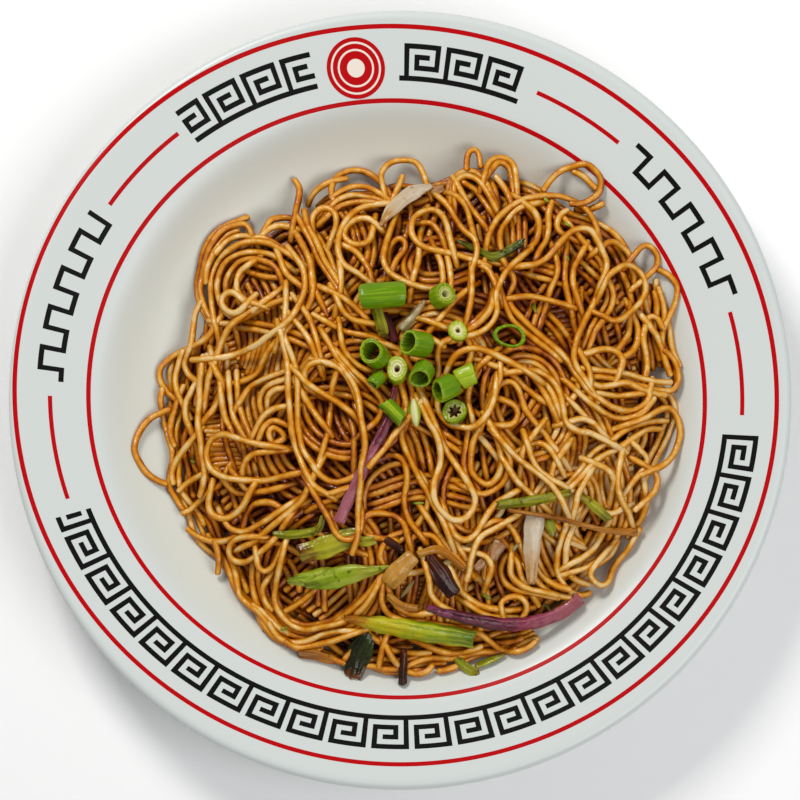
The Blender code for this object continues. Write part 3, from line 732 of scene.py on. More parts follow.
def lay(path, over=False, tone=None, free=0, tuck=0.0, bed=None):
    """Lay one noodle along a plan path, on all that lies there or on a given bed. Unless it
    goes over the toppings, it dips under them. Each end that isn't free is tucked in among
    the noodles below, and under any topping there."""
    if len(path) < SHORTEST_POINTS:
        return
    path, deep = tucked(np.asarray(path, dtype=float), free, tuck)
    trial = (rest if bed is None else bed).copy()
    crossed = read_map(over_toppings, path)
    roof = read_map(under_toppings, path)
    goes_over = (deep == 0) & over
    crossed[~goes_over] = -OPEN_SKY
    roof[goes_over] = OPEN_SKY
    contact = np.empty(len(path))
    for start in range(0, len(path), LAY_BLOCK):
        piece = slice(start, start + LAY_BLOCK)
        contact[piece] = np.maximum(read_map(trial, path[piece]), crossed[piece])
        behind = slice(max(0, start - LAY_LAG), max(0, start - LAY_LAG + LAY_BLOCK))
        laid = np.column_stack((path[behind], contact[behind]))
        if len(laid):
            mark_map(trial, laid)
    height = sagging(contact)
    height -= PRESS * np.maximum(height - read_map(wanted, path) - PROUD, 0)
    height = np.maximum(height - deep, well_height(np.hypot(path[:, 0], path[:, 1])) + STRAND)
    height = np.minimum(eased(np.minimum(height, roof), 3), roof)
    tone = noodle_draw.gauss(0, 1) if tone is None else tone
    points = np.column_stack((path, height))
    mark_map(rest, points)
    strands.append((points, tone))


def wander(start, heading, length, bend, swing, limit):
    """A winding plan path that turns back before it leaves the heap."""
    x, y = start
    path, turn = [], bend
    kick = swing * math.sqrt(2 * STEP / BEND_MEMORY)
    for _ in range(int(length / STEP)):
        path.append((x, y))
        turn += (bend - turn) * STEP / BEND_MEMORY + kick * noodle_draw.gauss(0, 1)
        outward = math.atan2(y - HEAP_Y, x - HEAP_X)
        share = math.hypot(x - HEAP_X, y - HEAP_Y) / REACHES[int(math.degrees(outward)) % 360]
        rate = turn
        if share > limit and math.cos(heading - outward) > -0.25:
            side = 1 if math.sin(heading - outward) >= 0 else -1
            rate = side * min((share - limit) * TURN_BACK, SHARPEST_TURN)
        heading += rate * STEP
        x += STEP * math.cos(heading)
        y += STEP * math.sin(heading)
    return np.array(path)


REACHES = [float(r) for r in outline_reach(np.radians(np.arange(360.0)))]


def headings(path):
    """Unit vectors along a path, at each of its points."""
    ahead = np.gradient(path, axis=0)
    return ahead / np.linalg.norm(ahead, axis=1)[:, None]


def leftward(path):
    """Unit vectors to the left of a plan path, at each of its points."""
    ahead = headings(path)
    return np.column_stack((-ahead[:, 1], ahead[:, 0]))


def distances(path):
    """How far along a path each of its points is."""
    return np.concatenate(([0], np.cumsum(np.linalg.norm(np.diff(path, axis=0), axis=1))))


def beside(path, offset):
    """A path that runs at a distance to the left of another."""
    offset = offset + 0.25 * np.sin(np.arange(len(path)) * 0.11 + offset)
    return evenly(path + leftward(path) * offset[:, None])


def evenly(path):
    """Points one step apart along a path."""
    along = distances(path)
    wanted_along = np.arange(0, along[-1], STEP)
    return np.column_stack([np.interp(wanted_along, along, path[:, k]) for k in (0, 1)])


def shortfall(points):
    return read_map(wanted, points) - read_map(rest, points)


def lowest_spot(reach_share):
    """Of some places in the heap, the one that most lacks noodles."""
    angles = np.array([noodle_draw.uniform(0, 2 * math.pi) for _ in range(SPOTS_TRIED)])
    shares = np.sqrt([noodle_draw.random() for _ in range(SPOTS_TRIED)]) * reach_share
    spots = heap_spots(angles, outline_reach(angles) * shares)
    return spots[np.argmax(shortfall(spots))]


def fill_heap(bundles, reach_share, lengths, depth_left):
    """Lay bundles of noodles where the heap is lowest, until it is nearly full."""
    for _ in range(bundles):
        start = lowest_spot(reach_share)
        best, best_score = None, depth_left
        for _ in range(PATHS_TRIED):
            bend = noodle_draw.choice((-1, 1)) * noodle_draw.uniform(0.0, 0.055)
            swing = noodle_draw.uniform(0.01, 0.045)
            path = wander(start, noodle_draw.uniform(0, 2 * math.pi),
                          noodle_draw.uniform(*lengths), bend, swing, limit=reach_share - 0.05)
            score = float(np.mean(np.minimum(shortfall(path), 3.0)))
            if score > best_score:
                best, best_score = path, score
        if best is None:
            continue
        for k in range(noodle_draw.choice((1, 2, 2, 3, 3, 4))):
            lane = best if k == 0 else beside(best, k * noodle_draw.uniform(*LANE_GAP))
            cut = noodle_draw.randrange(0, 9)
            lay(lane[cut:len(lane) - noodle_draw.randrange(0, 9) or None], tuck=TUCK)


# Half a carpet's width, and the points after which a noodle in it ends and another begins
CARPET_REACH = 110
CARPET_RUN = 34


def carpet(heading, share_limit, kept):
    """Noodles laid side by side right across the heap, less some stretches left open."""
    bed = rest.copy()
    along = np.arange(-CARPET_REACH, CARPET_REACH, STEP)
    for row in np.arange(2 - CARPET_REACH, CARPET_REACH - 2, 2 * STRAND + 0.3):
        wave = row + 7 * np.sin(along / 17 + row / 40) + 1.6 * np.sin(along / 6.5 + row / 13)
        x = HEAP_X + along * math.cos(heading) - wave * math.sin(heading)
        y = HEAP_Y + along * math.sin(heading) + wave * math.cos(heading)
        inside = heap_share(x, y) < share_limit
        start = None
        for i in range(len(along) + 1):
            if i < len(along) and inside[i] and (start is None or i - start < CARPET_RUN):
                start = i if start is None else start
            elif start is not None:
                if noodle_draw.random() < kept:
                    lay(np.column_stack((x[start:i], y[start:i])), bed=bed)
                start = i if i < len(along) and inside[i] else None


# Noodles along the heap's outline: shares of its reach, phase of their sway, and the first and
# last direction in degrees. The second half lies on the first.
SKIRTS = (
    ((0.87, 0.898, 0.926, 0.954), 0, 0, 360), ((0.98, 1.007, 1.034), 0, 160, 228),
    ((0.98, 1.007, 1.03), 0, 222, 291), ((0.975, 1.0, 1.025, 1.05), 0, 4, 24),
    ((0.86, 0.9, 0.94), 2, 0, 360), ((0.98, 1.015), 2, 164, 224), ((0.98, 1.01), 2, 226, 288),
    ((0.97, 1.0, 1.03), 2, 6, 22),
)
SKIRT_RADIUS = 86
SKIRT_OVERRUN = 0.12


def skirt(shares, phase, first, last):
    """Noodles that lie along the heap's outline, side by side."""
    bed = rest.copy()
    for share in shares:
        turn = first + noodle_draw.uniform(0, 0.2)
        while turn < last:
            steps = np.arange(int(noodle_draw.uniform(30, 90) / STEP))
            angles = turn + steps * STEP / SKIRT_RADIUS
            angles = angles[angles < last + SKIRT_OVERRUN]
            sway = 0.016 * np.sin(angles * 11 + phase) + 0.008 * np.sin(angles * 27 + share * 40)
            lay(heap_spots(angles, outline_reach(angles) * (share + sway)), bed=bed)
            turn = angles[-1] + 0.03


for shares, phase, first, last in SKIRTS:
    skirt(shares, phase, math.radians(first), math.radians(last))
carpet(math.radians(28), 0.9, 1.0)
carpet(math.radians(104), 0.86, 0.72)
# The filling stops a little below the surface, which the strands on top make up
wanted = wanted - FILL_BELOW
fill_heap(150, 0.94, (70, 170), 0.4)
wanted = wanted + FILL_BELOW

# The noodles that can be told apart on top are placed by the pixels of the photograph where
# they turn. A line of sight is followed down to the strands' height, from a first guess of it.
PHOTO_SIDE = 800
GUESSED_HEIGHT = 38.0
SIGHT_STEPS = 8
# How far the strands on top stand over the heap and over the plate, and how steeply they run
# down outside its outline
OVER_HEAP = 1.0
OVER_PLATE = 1.5
OUTER_SLOPE = 1.2
SIGHT = np.array((0.0, math.cos(CAMERA_ELEVATION), -math.sin(CAMERA_ELEVATION)))
UPWARD = np.array((0.0, math.sin(CAMERA_ELEVATION), math.cos(CAMERA_ELEVATION)))
EYE = (np.array(AIM) - SIGHT * CAMERA_DISTANCE) / MM


def seen_height(x, y):
    """Height of the strands on top at a plan place, on the heap or beside it."""
    share = heap_share(x, y)
    if share < 1:
        return heap_top(x, y) + OVER_HEAP
    beyond = (share - 1) * outline_reach(np.arctan2(y - HEAP_Y, x - HEAP_X))
    return max(well_height(np.hypot(x, y)) + OVER_PLATE, heap_top(x, y) - beyond * OUTER_SLOPE)


def plan_place(pixel_x, pixel_y):
    """Where in plan a strand on top lies that is seen at a pixel, to half a millimetre."""
    right = (pixel_x + 0.5) / PHOTO_SIDE - 0.5
    down = (pixel_y + 0.5) / PHOTO_SIDE - 0.5
    aside = np.array((right, 0.0, 0.0)) - down * UPWARD
    ray = SIGHT + aside * VIEW_WIDTH * MM / CAMERA_DISTANCE
    height = GUESSED_HEIGHT
    for _ in range(SIGHT_STEPS):
        x, y, _ = EYE + ray * (height - EYE[2]) / ray[2]
        height = (height + seen_height(x, y)) / 2
    return round(2 * x) / 2, round(2 * y) / 2


# Each is laid on those before it. Each gives whether it goes over the onions and greens, which
# of its ends lie free (0 none, 1 the first, 2 the last, 3 both), how brown it is, and then the
# x and y of its turns as pixels. Five give their plan instead, in half millimetres.
TOP_NOODLES = (
    (0, 1, 0.8, 249, 216, 235, 221, 220, 227, 210, 238, 203, 252, 199, 268, 197, 284, 199, 302,
     206, 316, 212, 326),
    (0, 0, 0.6, 254, 238, 247, 226, 236, 225, 222, 231, 212, 243, 206, 257, 203, 272, 201, 288,
     204, 304, 209, 316),
    (0, 0, 0.4, 240, 231, 228, 235, 219, 244, 213, 256, 207, 270, 205, 286),
    (0, 0, -0.5, 258, 240, 243, 237, 230, 241, 220, 250, 213, 259),
    (0, 0, 0.2, 266, 228, 272, 221, 283, 218, 294, 219, 300, 226),
    (0, 0, 0.5, 226, 292, 226, 280, 231, 269, 241, 261, 254, 258, 268, 261, 277, 269, 282, 281,
     284, 295, 286, 306),
    (0, 0, -0.1, 214, 322, 226, 323, 240, 318, 254, 311, 268, 304, 281, 299, 294, 297),
    (0, 0, 0.4, 216, 324, 208, 336, 196, 344, 184, 351, 170, 358, 161, 367, 159, 378, 165, 389,
     174, 398, 184, 404),
    (0, 0, 0.5, 163, 388, 160, 398, 161, 410, 164, 424, 168, 437, 173, 449, 172, 461, 169, 473,
     169, 485, 174, 497, 183, 509, 190, 517),
    (0, 0, 0, 184, 384, 179, 396, 175, 409, 171, 422, 171, 436, 176, 449),
    (0, 0, 0.2, 243, 528, 245, 515, 252, 505, 262, 502, 272, 503, 284, 510),
    (0, 0, 0.5, 186, 528, 197, 536, 212, 541, 226, 540, 238, 534),
    (0, 0, 0.4, 334, 202, 331, 191, 335, 179, 346, 171, 359, 170, 372, 176, 383, 186, 393, 198),
    (0, 0, 0.3, 328, 210, 338, 200, 352, 195, 368, 197, 380, 200),
    (0, 0, -0.2, 320, 240, 328, 254, 334, 268, 339, 282, 341, 296),
    (0, 0, 0.5, 448, 196, 448, 185, 454, 176, 464, 169, 477, 169, 487, 177, 494, 190, 499, 207),
    (0, 0, 0.4, 450, 205, 452, 183, 462, 173, 474, 172, 484, 180, 491, 192, 496, 206),
    (0, 0, 0.1, 467, 184, 475, 189, 483, 198, 490, 208, 496, 219),
    (0, 0, 0.2, 490, 172, 498, 165, 507, 168, 511, 178, 513, 192),
    (0, 0, -0.4, 554, 252, 558, 264, 556, 276, 551, 287, 547, 300),
    (0, 0, 0.1, 567, 246, 566, 262, 565, 278, 568, 292, 571, 304),
    (0, 0, 0, 468, 426, 466, 442, 464, 458, 465, 472, 470, 486),
    (0, 0, -0.1, 645, 490, 646, 503, 642, 516, 634, 528, 626, 540),
    (0, 1, 0.2, 203, 563, 210, 567, 216, 561),
    (0, 0, 0.5, 228, 556, 234, 570, 237, 583, 240, 596, 249, 605, 258, 611, 265, 619, 272, 629,
     282, 639, 294, 647, 308, 650, 322, 649),
    (0, 0, -0.3, 256, 240, 262, 236, 270, 229, 281, 226, 296, 228),
    (0, 0, 0.3, 320, 300, 312, 283, 303, 266, 290, 253, 276, 244, 262, 238, 250, 240),
    (0, 0, -0.2, 300, 262, 285, 252, 268, 243, 250, 242, 235, 247, 222, 257, 214, 270, 211, 285,
     211, 300, 214, 318, 217, 333, 219, 346, 216, 358),
    (0, 0, -0.6, 283, 262, 270, 254, 255, 251, 240, 253, 227, 261, 220, 272, 217, 286, 219, 300,
     226, 312, 236, 317, 248, 313, 258, 305, 268, 297, 279, 289),
    (0, 0, -0.7, 247, 265, 239, 272, 236, 284, 239, 294, 246, 301, 256, 304),
    (0, 0, -0.6, 279, 258, 284, 271, 291, 279, 300, 286),
    (0, 0, -0.3, 243, 300, 233, 294, 225, 295, 222, 302, 225, 310, 233, 315, 241, 311, 246, 304),
    (0, 0, 0, 312, 270, 313, 288, 308, 303, 299, 316, 288, 327, 277, 338, 268, 350, 262, 360, 256,
     371, 245, 379, 232, 382, 221, 378, 215, 370, 213, 360),
    (0, 0, -0.5, 203, 300, 196, 314, 193, 330, 191, 344, 187, 356, 184, 366, 189, 375, 200, 382),
    (0, 0, -0.2, 184, 350, 178, 366, 176, 380, 178, 394, 184, 406),
    (0, 0, 0.2, 242, 317, 230, 327, 223, 338, 218, 350, 214, 363, 209, 377, 206, 392, 203, 406),
    (0, 0, -0.1, 214, 368, 222, 384, 219, 396, 212, 408, 204, 419),
    (0, 0, -0.3, 190, 392, 185, 405, 186, 420, 191, 432, 195, 445, 198, 458),
    (0, 0, -0.5, 193, 438, 184, 450, 176, 461, 172, 474, 175, 488),
    (0, 2, -0.4, 205, 472, 188, 483, 176, 494),
    (0, 2, -0.2, 224, 474, 218, 483, 210, 490, 202, 498, 195, 506, 188, 511, 180, 514),
    (0, 0, -0.6, 221, 392, 221, 404, 224, 416, 229, 427, 234, 437),
    (0, 0, -0.9, 229, 386, 229, 400, 232, 414, 238, 427, 245, 438, 249, 446),
    (0, 0, -0.7, 237, 386, 238, 401, 241, 414, 246, 427, 252, 439),
    (0, 0, -0.5, 274, 374, 258, 381, 248, 387, 241, 396),
    (0, 0, -0.9, 262, 412, 259, 401, 263, 390, 272, 383, 284, 380),
    (0, 0, -0.7, 267, 408, 267, 397, 274, 389, 285, 387),
    (0, 0, -0.4, 254, 430, 261, 417, 273, 409, 288, 405),
    (0, 0, -0.2, 258, 436, 263, 426, 273, 420, 288, 424),
    (0, 0, -0.5, 288, 447, 277, 446, 269, 439, 268, 431, 273, 426, 281, 430, 283, 437, 277, 441),
    (0, 0, -0.4, 241, 478, 243, 464, 250, 455, 262, 452, 280, 450),
    (0, 0, -0.3, 224, 480, 229, 488, 238, 492, 248, 492),
    (0, 0, -0.5, 239, 480, 247, 489, 258, 491, 270, 489, 286, 485),
    (0, 0, -0.2, 222, 516, 230, 528, 243, 531, 256, 526, 268, 518, 280, 510, 292, 503),
    (0, 0, -0.5, 286, 296, 285, 310, 284, 324, 280, 336),
    (0, 0, -0.4, 300, 305, 308, 317, 314, 331, 318, 346, 320, 362),
    (0, 0, -0.2, 293, 318, 303, 330, 311, 344, 316, 358),
    (0, 0, -0.6, 326, 362, 316, 362, 307, 367, 304, 377, 307, 387, 318, 394),
    (0, 1, 0.5, 306, 205, 313, 196, 322, 188, 334, 182, 348, 180),
    (0, 0, 0.1, 330, 200, 340, 192, 353, 187, 366, 188, 378, 193, 390, 201),
    (0, 0, 0, 326, 216, 340, 206, 356, 202, 376, 202),
    (0, 0, -0.3, 313, 236, 311, 222, 315, 213, 325, 208, 334, 214, 335, 226, 331, 238),
    (0, 0, 0.1, 296, 214, 303, 228, 311, 243, 318, 258, 327, 273, 336, 287, 344, 300),
    (0, 0, 0.2, 304, 210, 308, 226, 316, 243, 323, 259, 332, 274, 340, 286),
    (0, 0, -0.1, 299, 240, 306, 252, 310, 266, 311, 280),
    (0, 0, -0.5, 339, 262, 341, 276, 340, 290, 338, 302),
    (0, 0, -0.5, 342, 245, 354, 250, 363, 259, 369, 271, 372, 284),
    (0, 0, -0.3, 372, 228, 369, 238, 361, 244, 351, 243, 344, 236, 347, 226, 356, 219, 368, 218,
     378, 225),
    (0, 0, -0.1, 360, 262, 352, 268, 345, 280),
    (0, 0, -0.4, 402, 176, 398, 187, 392, 199),
    (0, 0, -0.2, 389, 262, 389, 248, 393, 240, 400, 236, 405, 241, 403, 249, 397, 257, 392, 266),
    (0, 0, -0.4, 421, 220, 431, 222, 439, 230, 443, 241, 446, 253),
    (0, 0, -0.5, 419, 246, 417, 262, 413, 275, 410, 290),
    (0, 0, -0.6, 436, 252, 441, 264, 442, 278, 441, 292),
    (0, 0, -0.4, 446, 254, 449, 268, 450, 282, 450, 296),
    (0, 0, 0.3, 454, 200, 454, 186, 460, 178, 469, 176, 478, 181, 486, 192, 493, 205),
    (0, 0, -0.4, 457, 184, 465, 198, 474, 210, 484, 223, 490, 234),
    (0, 0, 0.3, 484, 178, 488, 164, 498, 158, 508, 161, 514, 170, 516, 182, 518, 196, 524, 206),
    (0, 0, -0.3, 494, 176, 502, 185, 508, 195, 513, 208),
    (0, 0, -0.4, 440, 190, 452, 194, 462, 201, 468, 211, 471, 223, 473, 236),
    (0, 0, -0.3, 503, 256, 499, 241, 501, 228, 508, 216, 519, 207, 536, 203),
    (0, 0, -0.3, 524, 204, 534, 212, 539, 224, 537, 237, 530, 247, 520, 257, 510, 267, 501, 278,
     494, 290, 489, 302, 481, 314, 471, 324, 462, 330),
    (0, 0, -0.5, 552, 200, 548, 214, 549, 227, 546, 239, 540, 249, 535, 258),
    (0, 0, -0.2, 568, 209, 560, 214, 557, 223, 561, 231, 569, 235),
    (0, 0, -0.7, 573, 228, 583, 239, 591, 248, 599, 258, 604, 268),
    (0, 0, -0.5, 580, 254, 574, 267, 573, 280, 576, 292, 580, 304),
    (0, 3, 0.4, 572, 170, 582, 175, 590, 184, 598, 190),
    (0, 1, 0.7, 604, 202, 595, 207, 584, 208, 572, 206),
    (0, 0, 0.4, 600, 246, 611, 241, 622, 245, 630, 254, 633, 268),
    (0, 0, 0.1, 632, 256, 641, 247, 650, 246, 657, 254, 657, 265, 650, 273, 640, 281),
    (0, 0, 0.3, 656, 270, 668, 274, 676, 285, 676, 297, 671, 310, 665, 322, 660, 334),
    (0, 0, -0.4, 606, 280, 608, 293, 603, 307, 595, 319, 588, 331, 583, 345, 581, 358, 585, 370,
     592, 380),
    (0, 0, -0.2, 609, 282, 614, 294, 611, 307, 603, 318, 595, 331, 590, 345),
    (0, 0, -0.5, 508, 268, 514, 280, 509, 294, 512, 306, 521, 317, 532, 328, 545, 339, 558, 350,
     569, 362, 576, 375, 577, 387, 572, 398, 561, 405, 550, 404, 539, 397, 527, 387, 515, 377,
     504, 370, 490, 364),
    (0, 0, -0.4, 500, 290, 504, 303, 512, 318, 524, 330, 536, 340, 549, 350),
    (0, 0, -0.3, 540, 376, 548, 386, 553, 396, 557, 408),
    (0, 0, -0.1, 532, 375, 540, 385, 546, 396, 552, 408),
    (0, 0, -0.7, 518, 345, 526, 357, 534, 369),
    (0, 0, -0.7, 530, 352, 538, 363, 547, 374),
    (0, 0, -0.5, 494, 390, 500, 383, 510, 381, 518, 387, 522, 398, 526, 409, 535, 422, 545, 434,
     553, 446, 562, 457),
    (0, 0, -0.5, 504, 400, 513, 404, 518, 412, 514, 421, 504, 425, 492, 423, 484, 417),
    (0, 0, -0.4, 518, 297, 532, 296, 547, 298, 562, 302),
    (0, 0, -0.5, 540, 331, 551, 333, 563, 337),
    (0, 0, -0.3, 632, 313, 637, 326, 637, 340, 632, 350, 621, 357),
    (0, 0, -0.5, 629, 318, 628, 332, 623, 342, 616, 350),
    (0, 0, -0.5, 662, 330, 656, 319, 649, 317, 645, 325, 643, 338, 645, 352, 647, 366, 645, 378),
    (0, 0, -0.3, 648, 324, 656, 336, 661, 349, 665, 363, 670, 378),
    (0, 0, 0.1, 662, 350, 672, 358, 677, 370, 677, 383, 670, 391, 656, 390, 643, 386, 628, 382,
     612, 378, 596, 376),
    (0, 0, -0.4, 590, 369, 606, 371, 623, 373, 640, 377, 655, 381, 672, 383),
    (0, 0, -0.3, 588, 382, 600, 386, 612, 384, 626, 383, 640, 388, 654, 394, 668, 396),
    (0, 0, -0.7, 598, 392, 612, 394, 624, 395, 634, 393),
    (0, 0, -0.6, 580, 380, 590, 392, 600, 400, 612, 407, 626, 410, 639, 407, 647, 400, 649, 391),
    (0, 0, -0.5, 574, 388, 586, 399, 600, 409, 615, 416, 630, 417, 642, 412, 650, 402),
    (0, 0, -0.3, 588, 352, 602, 348, 615, 351, 622, 360, 619, 370),
    (0, 0, -0.6, 592, 368, 602, 361, 614, 355),
    (0, 0, -0.5, 618, 369, 630, 366, 642, 374),
    (0, 0, -0.1, 582, 356, 588, 370, 590, 386),
    (0, 0, -0.4, 668, 420, 652, 420, 637, 424, 624, 430, 613, 438, 600, 446, 589, 457, 579, 470,
     567, 484, 557, 494),
    (0, 0, -0.6, 662, 428, 648, 429, 633, 437, 620, 446, 606, 453, 594, 461, 582, 474, 571, 485,
     561, 492),
    (0, 0, 0, 622, 420, 613, 430, 609, 441),
    (0, 0, -0.7, 573, 404, 583, 414, 593, 424, 600, 432),
    (0, 0, -0.7, 570, 421, 582, 419, 592, 423, 600, 430),
    (0, 0, -0.5, 562, 452, 554, 464, 551, 478),
    (0, 0, -0.4, 526, 446, 534, 441, 543, 443, 551, 450, 557, 460),
    (0, 0, -0.4, 536, 430, 527, 441, 522, 452, 520, 464),
    (0, 0, -0.6, 527, 446, 531, 458, 539, 469, 550, 478, 560, 484),
    (0, 0, -0.3, 480, 424, 474, 440, 470, 456, 472, 471, 480, 481, 489, 483, 497, 476, 501, 464,
     500, 449, 496, 434, 490, 424),
    (0, 0, -0.2, 496, 434, 504, 446, 509, 458, 508, 470, 502, 482, 492, 490, 480, 493, 468, 488),
    (0, 0, -0.5, 508, 468, 517, 480, 527, 490, 540, 502),
    (0, 0, -0.3, 596, 464, 606, 470, 613, 479, 612, 492),
    (0, 0, -0.4, 594, 504, 602, 511, 612, 513, 624, 508),
    (0, 0, -0.4, 640, 450, 646, 459, 643, 469, 634, 479, 625, 491),
    (0, 0, -0.1, 620, 460, 617, 474, 617, 488, 621, 501, 627, 512, 632, 523, 636, 534),
    (0, 0, 0.1, 643, 464, 653, 471, 657, 481, 653, 492, 645, 500),
    (0, 0, -0.8, 573, 528, 567, 542, 565, 556, 567, 570, 576, 580, 590, 584),
    (0, 0, -0.4, 566, 526, 560, 542, 557, 556, 557, 570, 562, 582, 571, 592, 582, 595, 594, 590),
    (0, 0, -0.7, 602, 534, 594, 547, 584, 556, 572, 562),
    (0, 0, -0.7, 608, 548, 598, 559, 586, 567, 574, 571),
    (0, 0, -0.6, 534, 564, 543, 576, 555, 585, 569, 589),
    (0, 0, -0.4, 531, 574, 543, 587, 557, 595, 573, 597),
    (0, 0, -0.5, 530, 590, 521, 576, 517, 562, 510, 554, 503, 559, 501, 570, 505, 581, 515, 588,
     528, 592, 545, 594),
    (0, 0, -0.5, 510, 560, 511, 573, 518, 583, 530, 589, 542, 592),
    (0, 0, 0, 485, 524, 496, 520, 507, 523, 515, 533, 520, 545, 526, 560),
    (0, 0, -0.5, 428, 516, 438, 534, 447, 546, 456, 557, 466, 568),
    (0, 0, -0.2, 440, 512, 447, 527, 455, 541, 462, 552),
    (0, 0, -0.8, 453, 576, 461, 590, 470, 599, 481, 605, 493, 608, 506, 609, 520, 609),
    (0, 0, -0.4, 470, 605, 481, 613, 494, 616, 508, 616, 520, 617),
    (1, 0, -0.2, 476, 552, 486, 556, 491, 566, 488, 578),
    (0, 0, -0.2, 408, 554, 408, 543, 414, 535, 425, 533, 435, 537, 443, 547, 452, 558),
    (1, 0, -0.2, 424, 564, 428, 580, 430, 593, 437, 603, 446, 608),
    (0, 0, 0.3, 402, 531, 389, 537, 382, 547, 380, 558, 386, 569),
    (0, 0, 0.1, 390, 594, 396, 605, 406, 613, 418, 614, 430, 612),
    (0, 0, 0.1, 381, 588, 381, 602, 389, 613, 402, 619, 417, 621, 436, 624),
    (0, 2, 0.3, 522, 628, 528, 638, 529, 647),
    (0, 2, 0.2, 548, 630, 539, 640, 536, 653),
    (0, 0, 0.3, 378, 640, 390, 648, 404, 652, 418, 653, 434, 651),
    (0, 0, 0.2, 424, 645, 438, 650, 454, 653, 470, 650, 484, 644),
    (0, 2, 0.1, 386, 636, 381, 650, 378, 671),
    (0, 0, 0, 388, 652, 396, 663, 406, 671, 417, 674, 428, 670, 434, 661),
    (0, 0, 0.2, 343, 660, 351, 649, 362, 636),
    (0, 0, -0.3, 376, 612, 370, 622),
    (0, 2, 0.1, 214, 540, 219, 553, 219, 565, 217, 575),
    (0, 0, -0.2, 278, 566, 268, 578, 263, 590, 265, 602, 275, 613),
    (0, 0, -0.4, 268, 622, 278, 636, 292, 642, 307, 640, 322, 634, 337, 631, 352, 631),
    (0, 0, 0.1, 284, 640, 298, 647, 314, 645, 328, 642, 342, 638, 356, 632),
    (0, 0, -0.5, 266, 541, 280, 543, 292, 548, 303, 555),
    (0, 0, -0.2, 312, 590, 301, 600, 291, 607, 281, 611),
    (0, 0, -0.1, 376, 583, 365, 597, 354, 607, 342, 617),
    (0, 0, 0, 334, 524, 338, 538, 345, 547, 354, 550),
    (0, 0, -0.2, 335, 372, 332, 388, 330, 403, 329, 417, 327, 431, 323, 446, 319, 460, 314, 474),
    (0, 0, -0.1, 349, 416, 353, 432, 353, 448, 353, 464, 354, 480),
    (0, 0, -0.3, 300, 390, 307, 401, 314, 412, 322, 422),
    (0, 0, -0.4, 320, 503, 333, 497, 345, 490, 354, 483),
    (0, 0, 0.3, 303, 482, 313, 491, 327, 494, 342, 489),
    (0, 0, 0, 408, 538, 404, 524, 396, 516, 384, 512, 372, 513, 363, 519, 362, 528, 368, 535, 381,
     538),
    (0, 0, -0.4, 450, 338, 441, 343, 437, 352, 438, 366, 437, 380, 434, 392),
    (0, 0, -0.2, 470, 412, 468, 398, 471, 382, 476, 369, 488, 357),
    (0, 0, -0.4, 330, 292, 343, 298, 356, 309, 368, 320),
    (0, 0, -0.4, 336, 298, 343, 311, 354, 319, 368, 322),
    (0, 0, -0.2, 326, 320, 341, 328, 356, 332, 368, 336),
    (0, 0, -0.4, 340, 332, 343, 347, 351, 359, 362, 367, 375, 372),
    (0, 0, -0.3, 328, 340, 336, 354, 346, 368, 357, 379),
    (0, 0, -0.3, 328, 396, 340, 403, 351, 414, 360, 425),
    (0, 0, -0.4, 398, 380, 403, 394, 406, 410),
    (0, 0, -0.2, 420, 384, 424, 398, 430, 414, 438, 430),
    (0, 0, -0.3, 494, 296, 489, 309, 480, 320, 467, 330),
    (0, 0, -0.4, 474, 262, 486, 269, 493, 280, 497, 292),
    (0, 0, -0.4, 466, 290, 454, 300, 444, 312, 436, 322),
    (0, 0, -0.4, 418, 318, 432, 322, 448, 329),
    (0, 0, -0.3, 406, 340, 410, 333, 420, 332, 430, 337),
    (0, 0, -0.4, 484, 418, 490, 404, 495, 391, 499, 378, 500, 368),
    (0, 0, -0.2, 504, 404, 497, 414, 488, 420),
    (0, 0, -0.5, 296, 258, 303, 268, 305, 281, 303, 294, 297, 306, 290, 317, 280, 327, 268, 336,
     256, 346, 240, 352, 223, 357, 205, 360, 188, 361),
    (0, 0, -0.3, 201, 372, 200, 385, 199, 400, 198, 413, 198, 427, 200, 441, 202, 455, 204, 470,
     203, 484, 199, 498),
    (0, 0, 0.9, 172, 409, 161, 413, 150, 418, 141, 427, 135, 439, 134, 451, 139, 463, 147, 473,
     157, 480, 170, 485),
    (0, 0, -0.6, 272, 446, 256, 443, 243, 440, 232, 436, 222, 433, 212, 438, 207, 448, 207, 460,
     212, 470, 222, 477, 235, 479, 250, 480, 265, 479, 280, 477, 296, 473),
    (0, 0, -0.8, 249, 492, 243, 505, 235, 513, 224, 518, 213, 514, 208, 505, 210, 495),
    (0, 0, -0.3, 316, 470, 309, 484, 302, 498, 291, 509, 279, 519, 267, 529, 254, 541, 245, 545),
    (0, 0, -0.5, 281, 336, 285, 352, 287, 370, 288, 386, 289, 402, 290, 418, 291, 432, 295, 448,
     301, 462, 307, 474, 314, 485, 322, 490),
    (0, 0, -0.4, 288, 346, 295, 364, 297, 382, 297, 400, 297, 417, 298, 432, 303, 449, 310, 462,
     318, 472, 330, 480, 343, 481, 356, 475),
    (0, 1, 0.9, 293, 178, 299, 188, 299, 200, 296, 212, 292, 228),
    (0, 0, -0.6, 382, 203, 372, 205, 361, 208, 350, 216, 342, 227, 338, 240, 338, 254, 344, 265,
     355, 272, 367, 279),
    (0, 0, -0.4, 383, 190, 381, 177, 386, 168, 394, 162, 404, 160, 414, 163, 421, 171, 426, 184),
    (0, 0, -0.5, 396, 214, 389, 232, 384, 247, 383, 260, 388, 271, 399, 279, 412, 284, 426, 288,
     438, 289),
    (0, 0, -0.6, 474, 260, 458, 255, 441, 251, 425, 247, 414, 240, 410, 229, 413, 218, 421, 210,
     432, 208, 441, 213, 446, 224, 449, 237, 453, 252),
    (0, 3, 0.8, 466, 172, 467, 158, 472, 150, 478, 155, 480, 170),
